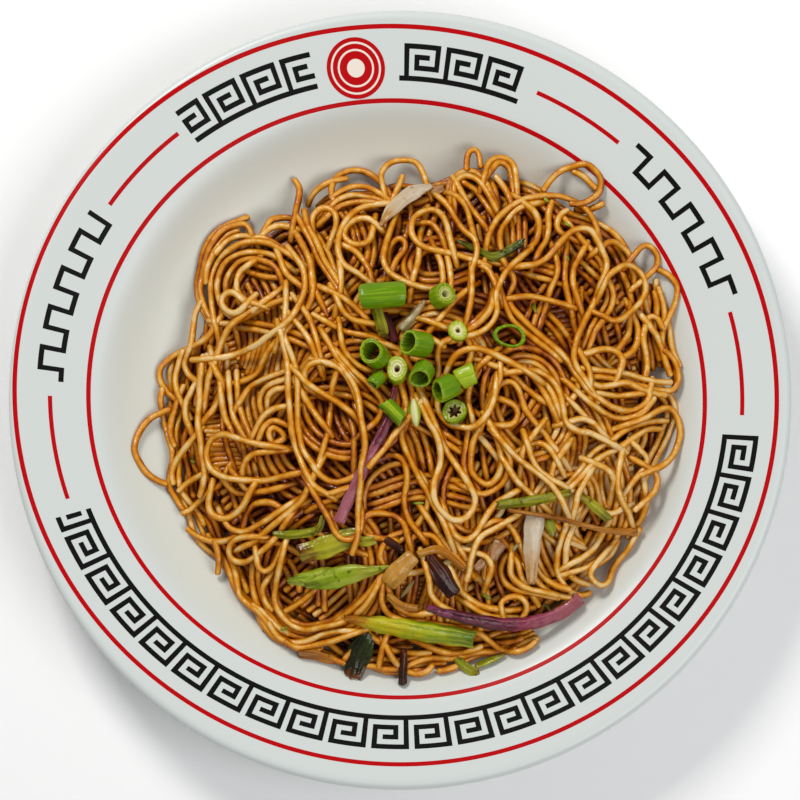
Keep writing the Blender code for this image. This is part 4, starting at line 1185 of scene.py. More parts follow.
    (1, 0, -0.2, "plan", 27, 149, 36, 139, 41, 129, 47, 120, 54, 114, 56, 107, 55, 99, 52, 90, 51,
     79, 51, 70),
    (0, 0, -0.2, "plan", 52, 84, 52, 74, 51, 66, 49, 56, 46, 45),
    (0, 0, -0.2, 484, 254, 487, 238, 495, 221, 507, 208, 522, 200, 538, 197, 553, 196, 568, 199,
     581, 205, 590, 214, 596, 226, 599, 240),
    (0, 0, -0.5, 518, 266, 534, 264, 546, 257, 555, 248, 563, 239, 571, 231, 581, 228, 590, 231,
     596, 239, 602, 250, 606, 261, 605, 272, 600, 285, 595, 299, 588, 312, 581, 326, 576, 339,
     573, 352, 575, 364, 582, 376, 590, 388),
    (0, 3, 0.7, 541, 192, 550, 180, 561, 171, 573, 165, 585, 163, 594, 169, 600, 179, 599, 191,
     592, 199, 580, 203, 566, 203),
    (0, 0, -0.2, 602, 286, 608, 276, 615, 270, 625, 265, 635, 268, 643, 279, 644, 292, 638, 304,
     629, 312, 622, 319, 612, 321, 604, 316),
    (0, 0, -0.5, 519, 371, 532, 370, 545, 374, 554, 383, 560, 394, 563, 408, 566, 422, 576, 430,
     589, 432, 601, 438, 612, 443),
    (0, 0, -0.1, 628, 424, 642, 418, 655, 411, 666, 408, 675, 414, 679, 425, 679, 437, 675, 449,
     669, 458, 660, 466, 652, 470),
    (1, 0, -0.4, "plan", 72, -35, 81, -45, 91, -53, 101, -60, 109, -67, 115, -75, 119, -83),
    (1, 0, -0.2, "plan", 135, -61, 129, -72, 126, -84),
    (0, 0, -0.4, 602, 556, 593, 565, 590, 574, 594, 582, 601, 586, 608, 581, 612, 570, 619, 560,
     627, 550, 634, 538, 640, 526),
    (0, 0, -0.2, 502, 612, 501, 603, 508, 597, 517, 595, 524, 600, 527, 608, 521, 619),
    (0, 0, -0.5, 446, 512, 449, 524, 455, 535, 465, 540, 475, 534, 482, 523, 488, 511, 497, 501,
     507, 496),
    (1, 2, -0.4, 508, 520, 494, 529, 482, 535, 474, 546, 470, 560, 469, 572, 465, 583),
    (0, 0, 0.1, 436, 624, 452, 627, 466, 630, 479, 634, 490, 642, 500, 649, 513, 652, 527, 647,
     538, 638),
    (0, 0, -0.2, 256, 537, 243, 537, 233, 542, 229, 551, 233, 560, 243, 562, 253, 558, 262, 550,
     271, 542, 279, 531, 287, 520),
    (0, 0, -0.4, 283, 545, 277, 558, 271, 567, 264, 571, 258, 566, 257, 556),
    (0, 0, -0.2, 284, 548, 279, 566, 275, 584, 275, 602, 281, 616, 293, 625, 306, 629, 321, 627,
     336, 623, 350, 617, 362, 608, 371, 597, 377, 584),
    (0, 0, -0.2, 300, 376, 308, 384, 320, 392, 332, 399, 343, 406, 352, 414, 359, 423, 366, 432),
    (0, 0, -0.2, 342, 358, 352, 370, 363, 380, 374, 390, 381, 401, 380, 413, 375, 422, 364, 429),
    (0, 0, -0.4, 404, 418, 401, 434, 403, 446, 409, 458, 415, 469, 421, 480, 427, 492, 433, 504,
     440, 516, 446, 528, 449, 540),
    (0, 0, -1.3, 424, 400, 431, 416, 439, 433, 446, 448, 454, 461, 462, 473, 469, 484, 474, 497,
     472, 510, 463, 519, 452, 519, 442, 511, 435, 500, 433, 488, 436, 475, 440, 463, 440, 448,
     436, 434, 429, 422, 420, 406),
    (0, 0, -0.5, 438, 390, 437, 402, 440, 413, 448, 423, 459, 427, 471, 427, 482, 420, 490, 408,
     494, 396, 496, 384),
    (0, 0, 0, 380, 458, 390, 454, 399, 457, 405, 467, 406, 481, 404, 496, 405, 510, 411, 523, 419,
     534),
    (0, 0, -0.3, 444, 380, 448, 366, 455, 355, 465, 349, 478, 348, 490, 352, 502, 358, 516, 366,
     530, 374),
    (0, 0, -0.7, 326, 362, 337, 367, 346, 375, 353, 388, 358, 402, 360, 417, 362, 430),
    (0, 0, -0.4, 519, 258, 507, 270, 499, 284, 495, 298, 496, 310, 491, 322, 480, 331, 464, 337),
    (1, 0, 0.1, "plan", -64, -69, -57, -81, -51, -91, -47, -100, -42, -105, -36, -106, -31, -103,
     -28, -97, -27, -90, -28, -84),
    (1, 2, -0.4, 346, 372, 352, 382, 357, 392, 359, 404, 360, 417, 363, 430, 365, 442, 363, 454,
     361, 467, 360, 481, 359, 495, 358, 510, 358, 525, 356, 540, 351, 557),
    (1, 2, -0.4, 412, 412, 403, 424, 393, 436, 385, 447, 377, 456, 370, 464, 366, 470),
)


def flowing(turns):
    """A smooth plan path through some turns."""
    turns = np.asarray(turns, dtype=float)
    turns = np.vstack((2 * turns[0] - turns[1], turns, 2 * turns[-1] - turns[-2]))
    t = np.linspace(0, 1, 17)[:-1, None]
    runs = []
    for a, b, c, d in zip(turns, turns[1:], turns[2:], turns[3:]):
        runs.append(b + (c - a) * t / 2 + (2 * a - 5 * b + 4 * c - d) * t ** 2 / 2
                    + (3 * b - a - 3 * c + d) * t ** 3 / 2)
    return evenly(np.vstack(runs + [turns[-2:-1]]))


for over, free, tone, *turns in TOP_NOODLES:
    if turns[0] == "plan":
        turns = np.array(turns[1:]).reshape(-1, 2) / 2
    else:
        turns = [plan_place(*pixel) for pixel in zip(turns[::2], turns[1::2])]
    lay(flowing(turns), over=bool(over), tone=tone, free=free, tuck=TUCK)


def tube_arrays(points, girth):
    """Rings of points round a path, closed at both ends, and each ring's distance along."""
    along = distances(points)
    length = along[-1]
    # Closer together at the ends, which are rounded
    stations = np.concatenate(([0, 0.3, 0.8], np.arange(1.7, length - 1.3, STEP),
                               [length - 0.8, length - 0.3, length]))
    middle = np.column_stack([np.interp(stations, along, points[:, k]) for k in range(3)])
    ahead = headings(middle)
    side = np.cross(ahead, (0.0, 0.0, 1.0))
    side /= np.linalg.norm(side, axis=1)[:, None]
    up = np.cross(side, ahead)
    swell = girth * (1 + 0.05 * np.sin(stations * 0.35 + points[0, 0]))
    swell[[0, -1]] *= 0.5
    swell[[1, -2]] *= 0.87
    turn = 2 * math.pi * np.arange(STRAND_SIDES) / STRAND_SIDES
    ring = side[:, None] * np.cos(turn)[None, :, None] + up[:, None] * np.sin(turn)[None, :, None]
    return middle[:, None] + ring * swell[:, None, None], stations


def strand_sauce_and_shade(points, tone, rings, stations):
    """Darkness at each ring point: soy tone, painted shade deep and on the sides, painted highlight
    on top.
    """
    run = np.linspace(0, stations[-1], len(points))
    cover = np.interp(stations, run, read_map(rest, points) - points[:, 2])
    depth = np.interp(stations, run, read_map(wanted, points) - points[:, 2])
    patch = 0.5 * np.sin(stations * 0.055 + tone * 9) + 0.5 * np.sin(stations * 0.13 + tone * 5)
    dark = MEAN_SAUCE + STRAND_SAUCE * tone + PATCH_SAUCE * patch
    # Painted shade: a strand is made darker where it lies under others or low in the heap
    buried = np.clip(cover - 2.5, 0, 6)
    dark += DEEP_SHADE * buried + DEEP_SHADE * np.clip(depth, -2, 6)
    x, y = rings[:, :, 0].mean(axis=1), rings[:, :, 1].mean(axis=1)
    # Patches of soy and painted shade, and of painted light where the amount is negative
    for pool_x, pool_y, reach, amount in SAUCE_AND_SHADE_POOLS:
        near = np.exp(-((x - pool_x) ** 2 + (y - pool_y) ** 2) / reach ** 2)
        dark += amount * near * (1 + POOL_SHADE_DEPTH * buried)
    # Painted shade on each strand's sides, which leaves a painted highlight along its top
    upward = np.sin(2 * math.pi * np.arange(STRAND_SIDES) / STRAND_SIDES)
    side_shade = 1 - np.clip(upward, 0, 1) ** 3
    return np.clip(dark[:, None] + SIDE_SHADE * side_shade[None, :], 0, 1).ravel()


def strand_mesh(name, laid, material):
    """One mesh of many noodles, that also keeps how dark each point is."""
    vertices, faces, sauce_and_shade = [], [], []
    count = 0
    side = np.arange(STRAND_SIDES)
    for points, tone in laid:
        rings, stations = tube_arrays(points, STRAND * (1.06 + 0.05 * math.sin(tone * 37.0)))
        sauce_and_shade.append(strand_sauce_and_shade(points, tone, rings, stations))
        vertices.append(rings.reshape(-1, 3))
        first = count + np.arange(len(stations) - 1)[:, None] * STRAND_SIDES
        here, after = first + side, first + (side + 1) % STRAND_SIDES
        quads = np.stack((here, here + STRAND_SIDES, after + STRAND_SIDES, after), axis=-1)
        faces += quads.reshape(-1, 4).tolist()
        last = count + (len(stations) - 1) * STRAND_SIDES
        faces.append((count + side).tolist())
        faces.append((last + side[::-1]).tolist())
        count += len(stations) * STRAND_SIDES
    made = mesh_object(name, np.concatenate(vertices), faces, material)
    # Kept for each point: the soy tone together with painted shade and a painted highlight
    dark = made.data.attributes.new("sauce_and_shade", "FLOAT", "POINT")
    dark.data.foreach_set("value", np.concatenate(sauce_and_shade).astype(np.float32))
    made.data.shade_smooth()
    return made


def varied_tone(tree, value, texture, limits, shift, stops):
    """A colour ramp, from (position, hex) pairs, read at a value that a texture moves."""
    move = add_node(tree, "ShaderNodeMapRange", [("Value", texture, "Fac")], From_Min=limits[0],
                    From_Max=limits[1], To_Min=-shift, To_Max=shift)
    total = add_node(tree, "ShaderNodeMath", [(0, value, "Fac"), (1, move, "Result")],
                     operation="ADD")
    tone = add_node(tree, "ShaderNodeValToRGB", [("Fac", total, "Value")])
    while len(tone.color_ramp.elements) < len(stops):
        tone.color_ramp.elements.new(0.5)
    for element, (position, code) in zip(tone.color_ramp.elements, stops):
        element.position = position
        element.color = opaque(code)
    return tone.outputs["Color"]


def glazed_noodle():
    """Wheat dough stained by soy, browner in patches; painted shade deep and on the sides, painted
    highlight on top.
    """
    made, tree, shader = new_material("soy_glazed_noodle", Roughness=0.25,
                                      Specular_IOR_Level=0.36)
    # The attribute carries the soy tone with painted shade and a painted highlight; the palest stop
    # shows on the strands' tops, where the highlight is painted
    dark = add_node(tree, "ShaderNodeAttribute", attribute_name="sauce_and_shade")
    place = add_node(tree, "ShaderNodeTexCoord")
    blotch = add_node(tree, "ShaderNodeTexNoise", [("Vector", place, "Object")], Scale=210.0,
                      Detail=3.0)
    stops = ((0.0, "#DFBE80"), (0.2, "#D89C36"), (0.42, "#C9800A"), (0.64, "#B66500"),
             (0.84, "#944700"), (1.0, "#642600"))
    tone = varied_tone(tree, dark, blotch, (0.3, 0.7), 0.24, stops)
    tree.links.new(tone, shader.inputs["Base Color"])
    # Uneven film of oil and sauce, in drops and streaks less than 2 mm across
    film = add_node(tree, "ShaderNodeTexNoise", [("Vector", place, "Object")], Scale=620.0,
                    Detail=2.0)
    add_relief(tree, shader, film, 0.8, 0.0005)
    return made


noodle_look = glazed_noodle()
part_size = math.ceil(len(strands) / NOODLE_PARTS)
for number in range(NOODLE_PARTS):
    laid = strands[number * part_size:(number + 1) * part_size]
    heap = strand_mesh(f"noodle_strands_{number + 1}", laid, noodle_look)
    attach(heap, "root")
    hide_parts("noodles")

# ---------------------------------------------------------------- cut onions and greens
# Slivers of red and white onion, lengths of stem and leaf, and browned scraps, sliced with a
# knife and fried with the noodles: soft, thin, ribbed along the grain and glossy with oil.
# Each is one sheet or more, draped where the piece lies and then given its thickness.

# Points across a sheet, how far its edges curl down, and how far apart its ribs are
SHEET_COLUMNS = 13
EDGE_CURL = 0.35
RIB_SPACING = 2.4
# Sheets, by piece: plan points, widths from start to end, thickness, height of the ribs,
# raggedness of the ends and, for those that don't follow the solid's surface, lift over it
SHEETS = {
    "red_onion_1": (((-1.6, 2), (-5.2, -12), (-12.4, -26.5), (-17.8, -37.4), (-22.4, -47.5)),
                    (2.4, 3.8, 4.4, 4.6, 4.4), 1.3, 0.1, 0.3),
    "red_onion_2": (((-5.8, 29.4), (-1.2, 17.6)), (2.6, 4.0, 3.4), 1.2, 0.1, 0.3),
    "onion_1": (((0.2, 22.6), (4.8, 28), (9.6, 34.2)), (3.8, 3.8, 1.8), 1.1, 0.08, 0.4),
    "stem_1": (((-8.8, 32), (-5.4, 19.8)), (4.2, 4.6, 4.0), 1.3, 0.25, 0.4),
    "red_onion_3": (((9.4, -77.2), (18.4, -79.6), (29.3, -82), (40.2, -83.2), (51.1, -81.7),
                     (60.2, -78), (66.4, -72.7)),
                    (3.0, 4.6, 5.2, 5.2, 5.0, 5.0), 1.8, 0.14, 0.15),
    "onion_2": (((-7.4, 62.4), (-3.6, 68.2), (1.2, 73.2), (6, 76.4), (12, 78.6)),
                (1.2, 5.0, 6.2, 6.0, 2.2), 1.1, 0.1, 0.2),
    "onion_3": (((11.6, 75.8), (17.6, 78.2)), (2.6, 4.4, 3.0), 1.1, 0.1, 0.4),
    "onion_4": (((47.6, -68.8), (47.5, -62), (47.8, -52), (49, -43.2)), (3.2, 5.6, 7.2, 7.4),
                1.1, 0.06, 0.8),
    "onion_5": (((33.6, -60.6), (34.6, -57), (36.6, -53.4)), (2.4, 4.8, 5.2), 1.1, 0.05, 0.8),
    "onion_6": (((26.8, -63.6), (31, -60)), (3.2, 4.0, 3.2), 1.1, 0.05, 0.6),
    "stem_2": (((34.8, -40.6), (49.1, -38.6), (62.8, -35.6)), (3.6, 4.0, 3.4), 1.4, 0.25, 0.9),
    "stem_3": (((63.6, -36), (69.6, -40), (76.4, -45.8)), (3.0, 4.0, 3.6), 1.3, 0.25, 0.9),
    "stem_4": (((53.6, -45.6), (55.6, -52.2)), (4.2, 4.0, 2.4), 1.1, 0.1, 0.4),
    "stalk_1": (((38.6, -42.4), (55.6, -45), (74, -49), (87.4, -49.4)), (1.5, 1.9, 2.1, 3.6),
                1.4, 0.15, 0.4),
    "leaf_1": (((-11, -86), (-14.8, -94), (-17.6, -103)), (5.6, 8.8, 8.6, 5.8), 0.9, 0.35, 1.2),
    "stem_5": (((-20.2, -80.8), (-8.9, -82.9), (3.8, -85), (16.6, -86.9), (28.4, -88.8)),
               (2.0, 6.6, 7.8, 7.8, 7.0), 2.2, 0.4, 1.2),
    "stem_6": (((20.2, -95.2), (23.1, -97.7), (26.3, -100), (29.8, -100)), (2.4, 3.8, 4.2, 3.6),
               1.2, 0.2, 0.5),
    "stem_6_fold": (((27.4, -98.2), (33, -96), (38.6, -93.8)), (2.2, 3.0, 1.4), 1.1, 0.1, 0.4,
                    0.3),
    "leaf_2": (((-41, -67.6), (-34, -66.8), (-27, -65.6), (-18, -64.8)), (2.2, 6.0, 6.4, 4.0),
               1.0, 0.1, 0.3, -0.4),
    "leaf_2_fold": (((-34.6, -69.4), (-28.6, -68), (-19, -65.4), (-10, -64), (-2, -62.2)),
                    (2.0, 6.4, 8.6, 6.6, 3.6, 1.0), 1.0, 0.12, 0.2, 0.5),
    "stem_7": (((-37, -58.4), (-25.1, -54.8), (-17.9, -52), (-13, -51)),
               (7.2, 8.4, 8.0, 5.6), 1.3, 0.2, 1.1),
    "stem_7_fold": (((-16, -53.2), (-12, -53.6), (-7.6, -52.8)), (2.6, 4.6, 2.6), 1.1, 0.1, 0.5,
                    -0.4),
    "stem_8": (((-46.2, -50.6), (-36, -50.6), (-29.4, -48.8), (-27.6, -43)),
               (2.6, 3.8, 3.4, 2.0), 1.1, 0.2, 0.4),
    "stem_9": (((21, 56.2), (28.7, 52.6), (34.8, 50.4), (46, 56.6)), (1.8, 3.0, 3.8, 3.8, 2.8),
               1.1, 0.2, 1.2),
    "stalk_2": (((1.4, -92), (1.0, -105)), (3.0, 3.4, 3.4), 2.2, 0.3, 0.5),
    "browned_onion_1": (((10, -59), (20.2, -73.4)), (6.2, 8.0, 5.6), 1.2, 0.5, 0.8),
    "browned_onion_2": (((-4.6, -69.2), (0, -63.6), (5.2, -58.4)), (7.0, 8.0, 5.6), 1.2, 0.1,
                        0.8),
    "browned_onion_3": (((6.2, -58.4), (14.4, -56.6), (23.2, -63.4)), (3.0, 3.4, 2.8), 1.2,
                        0.15, 0.5),
    "browned_onion_4": (((-4.6, -72.2), (0.2, -76.2), (8, -77.6)), (3.0, 3.2, 2.6), 1.2, 0.15,
                        0.5),
    "browned_onion_5": (((-5.4, -52.6), (1.6, -57.4)), (3.0, 3.4, 3.0), 1.2, 0.15, 0.5),
}


def plant_skin(name, along, grain, scorch, roughness=0.16, flesh=0.0):
    """The wet surface of a cut, fried vegetable: colours from end to end, the colour and
    strength of its pale ribs, and the colour and share of what the pan has browned."""
    made, tree, shader = new_material(name, Roughness=roughness, Specular_IOR_Level=0.34)
    share = add_node(tree, "ShaderNodeAttribute", attribute_name="share")
    fibre = add_node(tree, "ShaderNodeAttribute", attribute_name="fibre")
    place = add_node(tree, "ShaderNodeTexCoord")
    cloud = add_node(tree, "ShaderNodeTexNoise", [("Vector", place, "Object")], Scale=240.0,
                     Detail=3.0)
    tone = varied_tone(tree, share, cloud, (0.0, 1.0), 0.4, along)
    # Ribs of the grain, nearly 2 mm apart and many times as long
    stretch = add_node(tree, "ShaderNodeMapping", [("Vector", fibre, "Vector")],
                       Scale=(0.06, 0.6, 1.0))
    ribs = add_node(tree, "ShaderNodeTexNoise", [("Vector", stretch, "Vector")], Scale=1.0,
                    Detail=2.5)
    rib_share = add_node(tree, "ShaderNodeMapRange", [("Value", ribs, "Fac")], From_Min=0.45,
                         From_Max=0.66, To_Max=grain[1])
    ribbed = blended(tree, rib_share, tone, grain[0])
    # Scorched spots, 2 to 4 mm across
    spots = add_node(tree, "ShaderNodeTexNoise", [("Vector", place, "Object")], Scale=330.0,
                     Detail=4.0)
    edge = 0.74 - 0.3 * scorch[1]
    spot_share = add_node(tree, "ShaderNodeMapRange", [("Value", spots, "Fac")], From_Min=edge,
                          From_Max=edge + 0.1, To_Max=0.85)
    tree.links.new(blended(tree, spot_share, ribbed, scorch[0]), shader.inputs["Base Color"])
    add_relief(tree, shader, spots, 0.7, 0.0008)
    if flesh:
        shader.inputs["Subsurface Weight"].default_value = flesh
        shader.inputs["Subsurface Radius"].default_value = (1.0, 0.8, 0.5)
        shader.inputs["Subsurface Scale"].default_value = 0.0012
    return made


def drape(name, across_points):
    """Heights of a solid's top under a grid of plan points, carried on past its edges."""
    tree = solid_tree(name)
    stations, columns = across_points.shape[:2]
    heights = np.full((stations, columns), np.nan)
    for i in range(stations):
        for j in range(columns):
            spot = Vector((*across_points[i, j], OPEN_SKY))
            hit = tree.ray_cast(spot, Vector((0, 0, -1)))[0]
            if hit:
                heights[i, j] = hit.z
        met = np.flatnonzero(~np.isnan(heights[i]))
        if len(met):
            heights[i] = np.interp(np.arange(columns), met, heights[i, met])
    met = np.flatnonzero(~np.isnan(heights[:, 0]))
    for j in range(columns):
        heights[:, j] = np.interp(np.arange(stations), met, heights[met, j])
    return eased(heights, 5)


def add_grain(made, share, fibre):
    """Store each point's place from end to end and along the grain, for the materials."""
    kept = made.data.attributes.new("share", "FLOAT", "POINT")
    kept.data.foreach_set("value", np.asarray(share, dtype=np.float32).ravel())
    kept = made.data.attributes.new("fibre", "FLOAT_VECTOR", "POINT")
    kept.data.foreach_set("vector", np.asarray(fibre, dtype=np.float32).ravel())


def cut_sheet(name, corners, widths, thickness, rib_height, ragged, lift=0, heights=None):
    """A sheet of onion, stem or leaf, draped over the place of its solid."""
    draw = random.Random(name)
    path = flowing(corners)
    stations = len(path)
    width_places = np.linspace(0, len(widths) - 1, stations)
    half = eased(np.interp(width_places, range(len(widths)), widths), 2) / 2
    v = np.linspace(-1, 1, SHEET_COLUMNS)
    # The ends are torn a little, and the edges sway in and out
    fray = eased(np.array([draw.uniform(-1, 1) for _ in v]), 1) * ragged
    fade = np.clip(1 - np.arange(stations) / 3, 0, 1)
    push = fray[None, :] * (fade[::-1] - fade)[:, None]
    sway = 1 + 0.06 * np.sin(np.arange(stations) * STEP * 0.7 + draw.uniform(0, 6))
    plan = path[:, None] + leftward(path)[:, None] * (half * sway)[:, None, None] * v[None, :, None]
    plan = plan + headings(path)[:, None] * push[:, :, None]
    height = heights(plan) if heights else drape(name.removesuffix("_fold"), plan)
    # Ribs run from end to end and swell and sink on the way
    ribs = max(2, round(2 * half.max() / RIB_SPACING))
    wave = np.cos(math.pi * ribs * v + draw.uniform(0, 2))
    swell = 0.6 + 0.4 * np.sin(np.arange(stations) * 0.4 + draw.uniform(0, 6))
    height = height + lift - EDGE_CURL * v ** 4 + rib_height * swell[:, None] * wave[None, :]
    made = new_mesh(name + "_cut", bpy.ops.mesh.primitive_grid_add, size=1,
                    x_subdivisions=stations - 1, y_subdivisions=SHEET_COLUMNS - 1)
    share = np.empty(len(made.data.vertices))
    fibre = np.empty((len(made.data.vertices), 3))
    offset = draw.uniform(0, 50)
    for number, vertex in enumerate(made.data.vertices):
        i = round((vertex.co.x + 0.5) * (stations - 1))
        j = round((vertex.co.y + 0.5) * (SHEET_COLUMNS - 1))
        vertex.co = (plan[i, j, 0] * MM, plan[i, j, 1] * MM, height[i, j] * MM)
        share[number] = i / (stations - 1)
        fibre[number] = (i * STEP, v[j] * half[i], offset)
    add_grain(made, share, fibre)
    apply_modifier(made, "SOLIDIFY", thickness=thickness * MM, offset=-1)
    apply_modifier(made, "SUBSURF", levels=1, render_levels=1)
    made.data.shade_smooth()
    return made


green_stem = plant_skin("fried_green_stem", ((0.0, "#6A5C04"), (0.25, "#767C06"),
                                             (0.6, "#76760A"), (1.0, "#624E04")),
                        ("#BAB632", 0.5), ("#42260A", 0.5))
broad_stem = plant_skin("fried_broad_stem", ((0.0, "#441C04"), (0.14, "#6C4408"),
                                             (0.3, "#90880E"), (0.5, "#A09A1E"),
                                             (0.75, "#8E8620"), (1.0, "#64600A")),
                        ("#C2BE3E", 0.38), ("#583408", 0.5))
yellow_stem = plant_skin("fried_pale_stem", ((0.0, "#A05C0A"), (0.1, "#B07E0C"),
                                             (0.2, "#BAA20A"), (0.4, "#ACA408"),
                                             (0.62, "#86980E"), (1.0, "#56700A")),
                         ("#D4D040", 0.5), ("#6E3C08", 0.25), flesh=0.05)
bright_leaf = plant_skin("fried_green_leaf", ((0.0, "#4E4E04"), (0.2, "#6C8206"),
                                              (0.4, "#7E9410"), (0.65, "#8A8C1E"),
                                              (1.0, "#6A6A0A")),
                         ("#BEC84E", 0.5), ("#3C3E06", 0.45))
dark_leaf = plant_skin("wilted_dark_leaf", ((0.0, "#2A3408"), (0.3, "#1A1E04"), (0.78, "#1C1404"),
                                            (0.9, "#6A3208"), (1.0, "#7E3E0C")),
                       ("#46581C", 0.3), ("#100C04", 0.3), roughness=0.12)
thin_leaf = plant_skin("fried_thin_leaf", ((0.0, "#3A3404"), (0.25, "#5A5604"), (0.5, "#666804"),
                                           (0.75, "#545A04"), (1.0, "#363C04")),
                       ("#A4A83C", 0.7), ("#1E2402", 0.85))
brown_stalk = plant_skin("browned_stalk", ((0.0, "#844608"), (0.5, "#90520C"), (1.0, "#AA6C1A")),
                         ("#D09440", 0.5), ("#4A1C06", 0.45))
white_onion = plant_skin("soft_white_onion", ((0.0, "#A06C28"), (0.2, "#B68C54"),
                                              (0.45, "#C0A886"), (0.75, "#C2B29A"),
                                              (1.0, "#B8A68C")),
                         ("#DED4C0", 0.4), ("#A8742E", 0.42), flesh=0.3)
clear_onion = plant_skin("glassy_white_onion", ((0.0, "#90804E"), (0.5, "#988456"),
                                                (1.0, "#8A642C")),
                         ("#BEAE86", 0.3), ("#7E5A26", 0.2), flesh=0.2)
stained_onion = plant_skin("soy_stained_onion", ((0.0, "#9A7048"), (0.5, "#9E744C"),
                                                 (1.0, "#8A5A2C")),
                           ("#BC9262", 0.3), ("#78481C", 0.2), flesh=0.2)
red_onion = plant_skin("soft_red_onion", ((0.0, "#5E1C20"), (0.25, "#561022"), (0.45, "#6A2430"),
                                          (0.62, "#8C4650"), (0.8, "#9E5C66"),
                                          (1.0, "#9A545C")),
                       ("#B87E88", 0.3), ("#42101A", 0.25), flesh=0.12)
maroon_onion = plant_skin("maroon_red_onion", ((0.0, "#2A0604"), (0.5, "#3E0A0C"),
                                               (1.0, "#5C1E24")),
                          ("#8A4A54", 0.2), ("#1C0404", 0.2), roughness=0.22)
# Painted highlight: the lighter first stop, at the sliver's left end, stands for glints there
purple_onion = plant_skin("purple_red_onion", ((0.0, "#7A3450"), (0.08, "#4E0828"),
                                               (0.25, "#380014"), (0.45, "#4E0620"),
                                               (0.62, "#80243C"), (0.85, "#A0545E"),
                                               (1.0, "#94464A")),
                          ("#B4687E", 0.33), ("#2C0612", 0.25), roughness=0.2)
golden_onion = plant_skin("golden_fried_onion", ((0.0, "#9E6C18"), (0.4, "#B68230"),
                                                 (1.0, "#B27E34")),
                          ("#D2A04C", 0.3), ("#784208", 0.3), flesh=0.08)
soy_onion = plant_skin("soy_fried_onion", ((0.0, "#B07A22"), (0.4, "#A8680E"), (1.0, "#9A5A0A")),
                       ("#D29C4A", 0.35), ("#6E3404", 0.35))
dark_onion = plant_skin("dark_fried_onion", ((0.0, "#4A1A04"), (0.4, "#3A1404"), (0.7, "#220804"),
                                             (1.0, "#2C0A04")),
                        ("#64361A", 0.35), ("#0E0402", 0.5), roughness=0.25)
SHEET_LOOKS = {
    "red_onion_1": red_onion, "red_onion_2": maroon_onion, "red_onion_3": purple_onion,
    "onion_1": clear_onion, "onion_2": white_onion, "onion_3": stained_onion,
    "onion_4": white_onion, "onion_5": stained_onion, "onion_6": stained_onion,
    "stem_3": broad_stem, "stem_5": yellow_stem, "stem_7": broad_stem, "stem_9": thin_leaf,
    "leaf_1": dark_leaf, "leaf_2": bright_leaf, "stalk_1": brown_stalk, "stalk_2": dark_onion,
    "browned_onion_1": dark_onion, "browned_onion_3": soy_onion, "browned_onion_4": soy_onion,
    "browned_onion_5": dark_onion,
}


def kind_of(name):
    return name.rsplit("_", 1)[0]


for sheet, shape in SHEETS.items():
    cut = cut_sheet(sheet, *shape)
    name = sheet.removesuffix("_fold")
    usual = golden_onion if kind_of(name) == "browned_onion" else green_stem
    cut.data.materials.append(SHEET_LOOKS.get(name, usual))
    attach(cut, "root")
    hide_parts(name)

# ---------------------------------------------------------------- spring onions
# Rings and short tubes cut across a raw spring onion and strewn on last: leaves rolled one
# in another, green and thin near the top of the plant, pale and close near its root.

RING_SIDES = 48
GROOVE_DEPTH = 0.28
CORNER_DEPTH = 0.28
RING_SHIFT = -1.2
# Width, length, wall, number of leaves, heading, lean, squash and corners of the hole
RINGS = {
    "spring_onion_01": (10.0, 6.4, 1.7, 2, 150, 32, 0.9, 0),
    "spring_onion_02": (9.0, 9.0, 1.2, 1, 174, 54, 1.0, 0),
    "spring_onion_03": (8.8, 6.4, 1.2, 1, 246, 55, 0.95, 0),
    "spring_onion_04": (9.2, 4.6, 3.4, 3, 96, 12, 0.86, 0),
    "spring_onion_05": (5.2, 5.2, 1.2, 1, 226, 72, 1.0, 0),
    "spring_onion_06": (7.4, 6.6, 1.2, 1, 25, 84, 1.0, 0),
    "spring_onion_07": (8.8, 7.6, 1.3, 1, 208, 60, 0.92, 0),
    "spring_onion_08": (8.8, 3.8, 2.2, 2, 120, 10, 0.96, 7),
    "spring_onion_09": (7.2, 9.2, 1.2, 1, 135, 88, 0.75, 0),
    "spring_onion_10": (5.0, 8.8, 1.5, 2, 96, 86, 0.94, 0),
    "spring_onion_11": (9.8, 14.6, 1.3, 1, 4, 90, 1.0, 0),
    "spring_onion_12": (7.8, 6.4, 2.8, 3, 20, 34, 1.0, 0),
    "spring_onion_13": (6.8, 3.4, 2.6, 2, 80, 8, 1.0, 0),
    "spring_onion_14": (11.2, 3.0, 1.2, 1, 0, 8, 0.76, 0),
}
# How far below the skin the outside lies, for pieces that have lost their outer leaf
PEELED = {"spring_onion_06": 0.45}
# Slit open on top: how pale it shows there, and half the slit's width in radians
SLIT_OPEN = {"spring_onion_09": (0.75, 0.28), "spring_onion_10": (0.9, 0.62)}
# Cut aslant, so that it narrows to both ends by this share
SLANTED = {"spring_onion_10": 0.6}
# How pale the inside is, where that isn't usual
PALING = {"spring_onion_14": 0.2}
PALE_RINGS = ("spring_onion_04", "spring_onion_08", "spring_onion_10", "spring_onion_12",
              "spring_onion_13")
YOUNG_RINGS = ("spring_onion_08", "spring_onion_12")


def ring_profile(radius, length, wall, leaves):
    """Section of a cut tube, from inside over the cut to outside and back under. The rolled
    leaves stand a little proud of the grooves between them."""
    inner, step = radius - wall, wall / leaves
    cut = []
    for k in range(leaves):
        low, proud = inner + k * step, 0.14 * math.sin(2.1 * k + radius)
        cut += [(low + 0.05, proud - GROOVE_DEPTH), (low + step * 0.25, proud),
                (low + step * 0.75, proud), (low + step - 0.05, proud - GROOVE_DEPTH)]
    top = [(r, length / 2 + z) for r, z in cut]
    outside = [(radius + 0.08, length * share) for share in (0.38, 0.2, 0, -0.2, -0.38)]
    under = [(r, -length / 2 - z) for r, z in reversed(cut)]
    inside = [(inner - 0.02, -length * 0.3), (inner - 0.02, 0), (inner - 0.02, length * 0.3)]
    return top + outside + under + inside


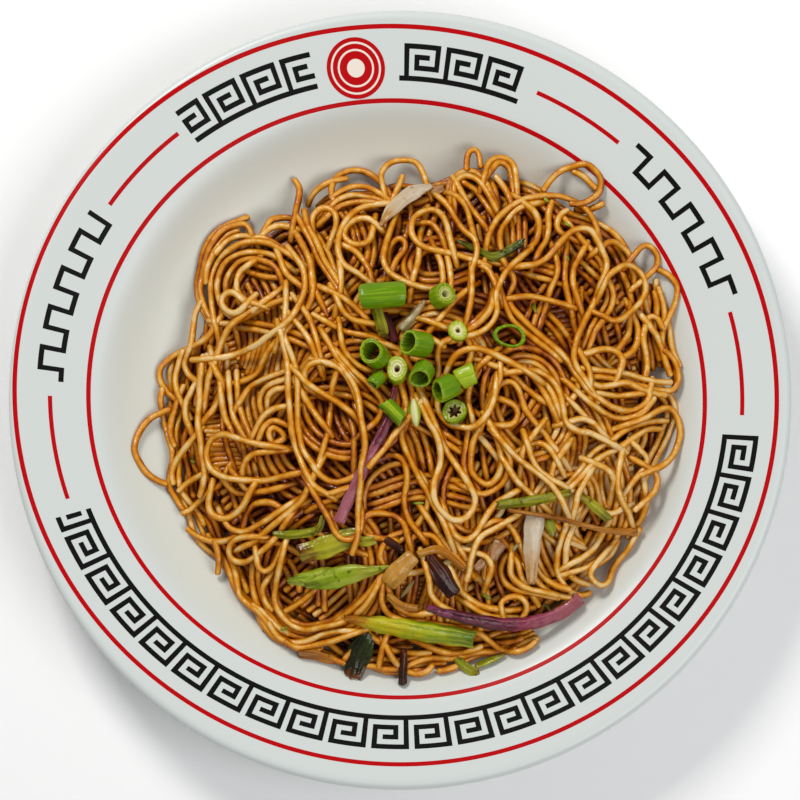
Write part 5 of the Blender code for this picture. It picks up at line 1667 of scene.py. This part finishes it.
def raw_spring_onion(name, stops):
    """Fresh spring onion: waxy green skin with fine ribs, paler towards the middle."""
    made, tree, shader = new_material(
        name, Roughness=0.18, Specular_IOR_Level=0.3, Subsurface_Weight=0.15,
        Subsurface_Radius=(0.8, 1.0, 0.3), Subsurface_Scale=0.0008)
    share = add_node(tree, "ShaderNodeAttribute", attribute_name="share")
    fibre = add_node(tree, "ShaderNodeAttribute", attribute_name="fibre")
    # Ribs along the tube, about 0.6 mm apart
    stretch = add_node(tree, "ShaderNodeMapping", [("Vector", fibre, "Vector")],
                       Scale=(0.12, 1.5, 1.0))
    ribs = add_node(tree, "ShaderNodeTexNoise", [("Vector", stretch, "Vector")], Scale=1.0,
                    Detail=2.0)
    tone = varied_tone(tree, share, ribs, (0.25, 0.75), 0.3, stops)
    tree.links.new(tone, shader.inputs["Base Color"])
    add_relief(tree, shader, ribs, 0.6, 0.0004)
    return made


def cut_ring(name, width, length, wall, leaves, heading, lean, squash, corners):
    """A ring or tube of spring onion, turned, made uneven and laid in its solid's place."""
    draw = random.Random(name)
    radius = width / 2
    profile = ring_profile(radius, length, wall, leaves)
    made = turned(name + "_cut", profile, RING_SIDES, closed=True)
    turn = Matrix.Rotation(math.radians(heading), 3, "Z")
    turn = turn @ Matrix.Rotation(math.radians(lean), 3, "Y")
    low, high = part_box(name)
    middle = (Vector(low) + Vector(high)) / 2 + Vector((0.0, RING_SHIFT, 0.0)) * MM
    phases = [draw.uniform(0, 6.28) for _ in range(4)]
    slant = draw.uniform(0.08, 0.2)
    share, fibre = [], []
    for vertex in made.data.vertices:
        x, y, z = vertex.co / MM
        angle, far = math.atan2(y, x), math.hypot(x, y)
        depth = min(max((radius - far) / wall, 0.0), 1.0)
        # Not quite round, with fine ribs on the skin, and a cornered hole in some
        dent = 0.06 * math.cos(2 * angle + phases[0]) + 0.035 * math.cos(3 * angle + phases[1])
        dent += 0.008 * math.cos(11 * angle + phases[2]) * (1 - depth)
        if corners:
            dent += CORNER_DEPTH * depth ** 2 * math.cos(corners * angle + phases[3])
        dent -= SLANTED.get(name, 0) * (2 * z / length) ** 2
        x, y = x * (1 + dent), y * (1 + dent) * squash
        z *= 1 + slant * math.cos(angle + phases[3])
        pale, reach = SLIT_OPEN.get(name, (0, 1))
        slit = pale * math.exp(-((abs(angle) - math.pi) / reach) ** 2)
        share.append(max(depth, slit, PEELED.get(name, 0)) * PALING.get(name, 1.0))
        fibre.append((z, angle * radius, phases[0] * 8))
        vertex.co = turn @ (Vector((x, y, z)) * MM) + middle
    add_grain(made, share, fibre)
    return made


green_ring = raw_spring_onion("raw_spring_onion_leaf", ((0.0, "#608804"), (0.22, "#7E9C0A"),
                                                        (0.5, "#A4BA22"), (1.0, "#4E6A04")))
young_ring = raw_spring_onion("raw_spring_onion_stem", ((0.0, "#6E8E06"), (0.3, "#8C9E16"),
                                                        (0.6, "#AEB450"), (1.0, "#BEBE7C")))
pale_ring = raw_spring_onion("raw_spring_onion_root", ((0.0, "#8CA20C"), (0.25, "#AAB62E"),
                                                       (0.5, "#CCCE80"), (1.0, "#E0DAA8")))
for name, shape in RINGS.items():
    cut = cut_ring(name, *shape)
    pale = name in PALE_RINGS
    look = young_ring if name in YOUNG_RINGS else pale_ring if pale else green_ring
    cut.data.materials.append(look)
    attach(cut, "root")
    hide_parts(name)

# ---------------------------------------------------------------- scraps
# Small bits that the knife and the pan leave among the noodles: snips of green, a flat
# browned strip at the edge and three glassy slivers of onion.

SCRAP_THICKNESS = 0.7
# Look, slot, plan points and widths
SCRAPS = (
    (bright_leaf, "green_leaf", ((52.4, -75.5), (54.2, -76.6), (55, -78.7), (54.7, -80.4)),
     (0.8, 1.5, 1.0)),
    (bright_leaf, "green_leaf", ((-43.6, -84.9), (-40.8, -84.3)), (1.6, 2.2, 1.2)),
    (bright_leaf, "green_leaf", ((-77.6, -22.3), (-75, -23.9)), (1.0, 1.8, 1.0)),
    (bright_leaf, "green_leaf", ((52.8, 73.4), (55.4, 71)), (1.0, 1.9, 1.0)),
    (bright_leaf, "green_leaf", ((60, 63.9), (62.5, 62.3)), (1.0, 1.6, 1.0)),
    (green_stem, "green_stem", ((60.7, 51.6), (61.8, 48.6)), (1.0, 1.7, 1.0)),
    (green_stem, "green_stem", ((48.2, 33.2), (49.7, 29.4)), (1.0, 1.8, 1.0)),
    (bright_leaf, "green_leaf", ((4.6, -39.8), (8.6, -39.8)), (1.0, 1.6, 1.0)),
    (green_stem, "green_stem", ((29.6, -72.3), (33.2, -74.1)), (1.2, 2.2, 1.2)),
    (brown_stalk, "browned_stalk",
     ((-37, -94), (-31.9, -94.2), (-27.2, -94.9), (-23.3, -96)), (2.6, 3.6, 2.4)),
    (clear_onion, "onion", ((0.2, -73.4), (2.3, -71.1), (5.1, -67.2)), (0.8, 2.0, 1.0)),
    (clear_onion, "onion", ((58.3, -77.3), (62.8, -75.8)), (1.6, 3.0, 1.8)),
    (clear_onion, "onion", ((40.4, -56.8), (41.9, -55.2), (43.2, -53.8)), (1.0, 2.0, 1.0)),
)


def on_the_noodles(plan):
    """Heights of a scrap that lies on the noodles, smoothed as a soft piece would lie."""
    flat = plan.reshape(-1, 2)
    high = read_map(rest, flat).reshape(plan.shape[:2]) - STRAND + SCRAP_THICKNESS
    high = np.minimum(high, read_map(under_toppings, flat).reshape(high.shape))
    return eased(eased(high, 4).T, 3).T


for number, (look, slot, corners, widths) in enumerate(SCRAPS, start=1):
    scrap = cut_sheet(f"scrap_{number}", corners, widths, SCRAP_THICKNESS, 0.05, 0.2,
                      heights=on_the_noodles)
    scrap.data.materials.append(look)
    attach(scrap, "root")
